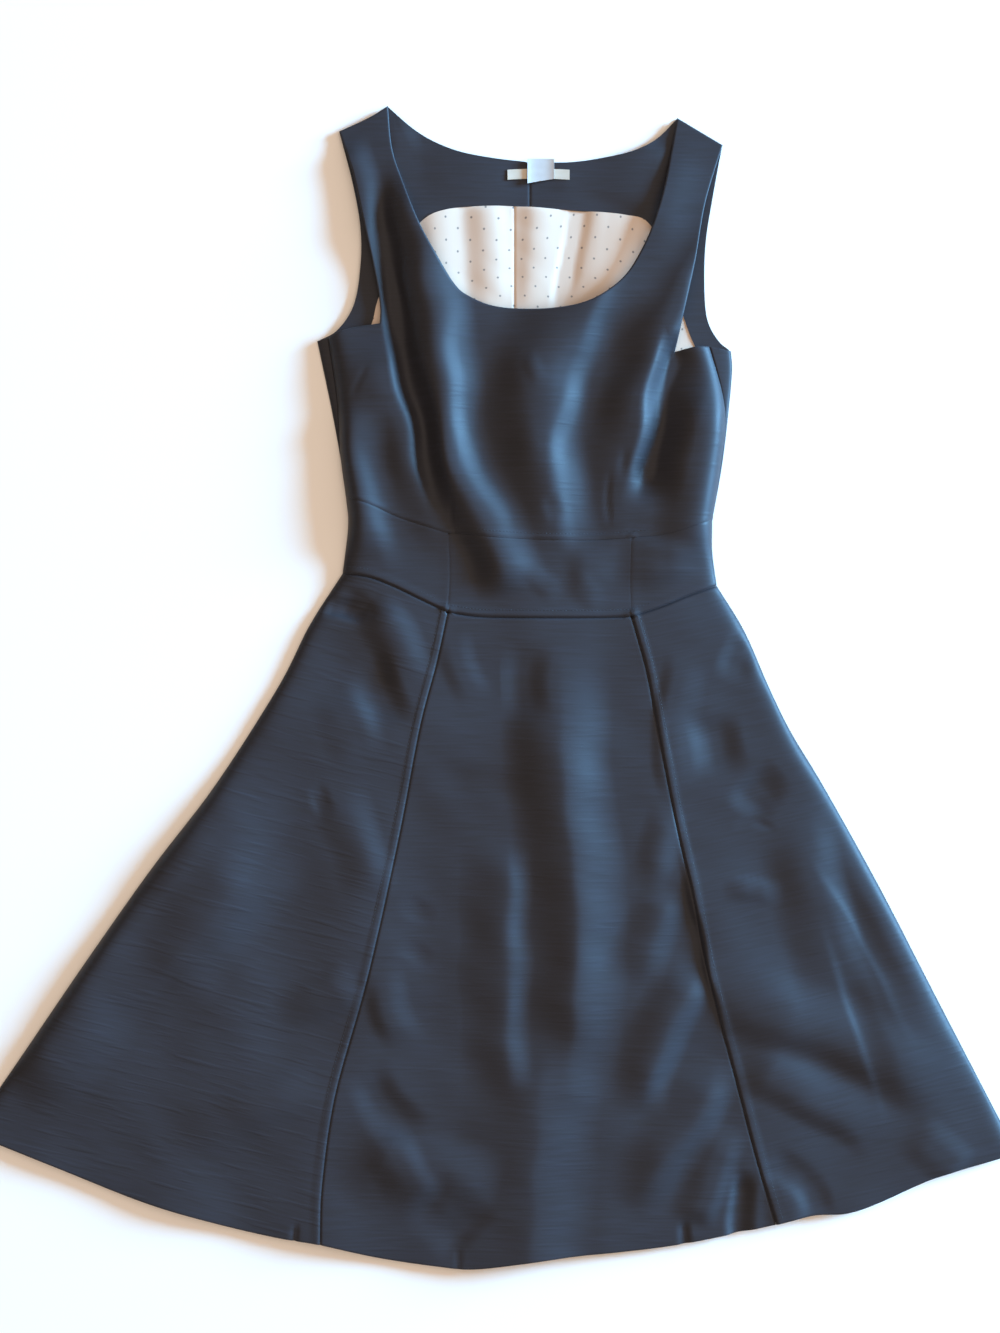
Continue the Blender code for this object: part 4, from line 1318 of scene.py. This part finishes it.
def stitch_template(sizes):
    """One stitch along x, as rings of points that taper at its ends: (points, faces)."""
    points = []
    for along, thickness in STITCH_RINGS:
        for angle in np.arange(STITCH_SIDES) * 2 * math.pi / STITCH_SIDES:
            radius = thickness * sizes.thread / 2
            points.append((along * sizes.stitch, math.cos(angle) * radius, math.sin(angle) * radius))
    faces = []
    for first in range(0, len(points) - STITCH_SIDES, STITCH_SIDES):
        for corner in range(STITCH_SIDES):
            pair = (first + corner, first + (corner + 1) % STITCH_SIDES)
            faces.append((*pair, pair[1] + STITCH_SIDES, pair[0] + STITCH_SIDES))
    caps = [tuple(reversed(range(STITCH_SIDES))), tuple(range(first + STITCH_SIDES, len(points)))]
    return np.array(points), faces + caps


def stitch_line(seam):
    """The run of a seam's topstitching, beside the seam on its pressed side."""
    curve = edge(seam.edge)
    ahead = np.gradient(curve, axis=0)
    ahead /= np.linalg.norm(ahead, axis=1, keepdims=True)
    beside = np.column_stack([-ahead[:, 1], ahead[:, 0]]) * seam.side
    return curve + beside * seam.stitch * MM


class DRESS_OT_topstitching(Piece):
    """Makes the rows of topstitching beside the seams, one joined mesh of separate stitches."""

    bl_idname = "dress.topstitching"
    bl_label = "Topstitching"

    def execute(self, context):
        sizes = context.scene.dress_sizes
        shape, faces = stitch_template(sizes)
        all_points, all_faces = [], []
        for seam in SEAMS:
            if not seam.stitch:
                continue
            line = stitch_line(seam)
            length = run_of(line)[-1]
            count = int(length / sizes.stitch_pitch) - 1
            middles = (np.arange(count) + 1) * sizes.stitch_pitch / length
            half = sizes.stitch / 2 / length
            starts, ends = at_shares(line, middles - half), at_shares(line, middles + half)
            starts = np.column_stack([starts, front_height(starts)])
            ends = np.column_stack([ends, front_height(ends)])
            for start, end in zip(starts, ends):
                ahead = (end - start) / np.linalg.norm(end - start)
                side = np.cross((0, 0, 1), ahead)
                side /= np.linalg.norm(side)
                frame_axes = np.array([ahead, side, np.cross(ahead, side)])
                first = len(all_points)
                all_points.extend(shape @ frame_axes + (start + end) / 2)
                all_faces.extend(tuple(first + index for index in face) for face in faces)
        mesh = bpy.data.meshes.new("topstitching")
        mesh.from_pydata([tuple(point) for point in all_points], [], all_faces)
        mesh.shade_smooth()
        obj = bpy.data.objects.new("topstitching", mesh)
        shown(obj, once("polyester sewing thread", sewing_thread), ())
        return {"FINISHED"}


class DRESS_OT_stage(Piece):
    """Makes the floor, the lights, the surround and the camera."""

    bl_idname = "dress.stage"
    bl_label = "Stage"

    def execute(self, context):
        scene = context.scene
        stage = scene.dress_stage
        self.add_floor(scene, stage)
        for name, kind in (("window", "key"), ("ceiling", "fill")):
            wanted = (getattr(stage, f"{kind}_{what}") for what in ("power", "colour", "place", "size"))
            self.add_light(scene, name, *wanted)
        self.add_surround(scene, stage)
        camera = bpy.data.cameras.new("camera")
        camera.sensor_fit = "VERTICAL"
        camera.sensor_height = 36.0
        camera.lens = camera.sensor_height * stage.camera_height / stage.view_height
        camera.clip_end = 50.0
        view = bpy.data.objects.new("camera", camera)
        view.location = (stage.view_across, stage.view_up, stage.camera_height + VIEW_LEVEL)
        scene.collection.objects.link(view)
        scene.camera = view
        scene.view_settings.view_transform = "Standard"
        return {"FINISHED"}

    def add_surround(self, scene, stage):
        """A warm room that is brighter on the window's side."""
        world = bpy.data.worlds.new("surround")
        world.use_nodes = True
        tree = world.node_tree
        place = add(tree, "ShaderNodeTexCoord")
        split = add(tree, "ShaderNodeSeparateXYZ", {"Vector": place.outputs["Generated"]})
        strength = add(tree, "ShaderNodeMapRange", {
            "Value": split.outputs["X"], "From Min": -SURROUND_TURN, "From Max": SURROUND_TURN,
            "To Min": stage.world_left, "To Max": stage.world_right,
        })
        feed(tree, tree.nodes["Background"], {"Color": colour4(stage.world_colour), "Strength": strength})
        scene.world = world

    def add_floor(self, scene, stage):
        """A flat floor under the dress."""
        half = stage.floor_size / 2
        line = np.linspace(-half, half, FLOOR_LINES)
        grid = np.stack(np.meshgrid(line, line), axis=2)
        obj = bpy.data.objects.new("floor", sewn_mesh("floor", [lifted(grid, -FLOOR_DROP)]))
        obj.data.materials.append(once("matt painted board", board))
        scene.collection.objects.link(obj)

    def add_light(self, scene, name, power, colour, place, size):
        """A round soft light that faces the dress."""
        light = bpy.data.lights.new(name, "AREA")
        light.shape = "DISK"
        light.size = size
        light.energy = power
        light.color = colour
        obj = bpy.data.objects.new(name, light)
        obj.location = place
        towards = -obj.location
        obj.rotation_euler = towards.to_track_quat("-Z", "Y").to_euler()
        scene.collection.objects.link(obj)


STEPS = (
    DRESS_OT_back_panels,
    DRESS_OT_facings,
    DRESS_OT_linings,
    DRESS_OT_labels,
    DRESS_OT_front_bodice,
    DRESS_OT_front_band,
    DRESS_OT_front_skirt,
    DRESS_OT_topstitching,
    DRESS_OT_stage,
)


GROUPS = {"dress_sizes": DressSizes, "dress_finish": DressFinish, "dress_stage": DressStage}


class DRESS_PT_panel(bpy.types.Panel):
    """Lists the dress's pieces, sizes, colours and stage."""

    bl_label = "A-line dress"
    bl_idname = "DRESS_PT_panel"
    bl_space_type = "VIEW_3D"
    bl_region_type = "UI"
    bl_category = "Dress"

    def draw(self, context):
        for step in STEPS:
            self.layout.operator(step.bl_idname)
        for group_name, kind in GROUPS.items():
            box = self.layout.box()
            for name in kind.__annotations__:
                box.prop(getattr(context.scene, group_name), name)


def register():
    for group in GROUPS.values():
        bpy.utils.register_class(group)
    for name, group in GROUPS.items():
        setattr(bpy.types.Scene, name, bpy.props.PointerProperty(type=group))
    for step in (*STEPS, DRESS_PT_panel):
        bpy.utils.register_class(step)


def unregister():
    for step in reversed((*STEPS, DRESS_PT_panel)):
        bpy.utils.unregister_class(step)
    for name, group in GROUPS.items():
        delattr(bpy.types.Scene, name)
        bpy.utils.unregister_class(group)


def main():
    register()
    for step in STEPS:
        group, name = step.bl_idname.split(".")
        getattr(getattr(bpy.ops, group), name)()


if __name__ == "__main__":
    main()
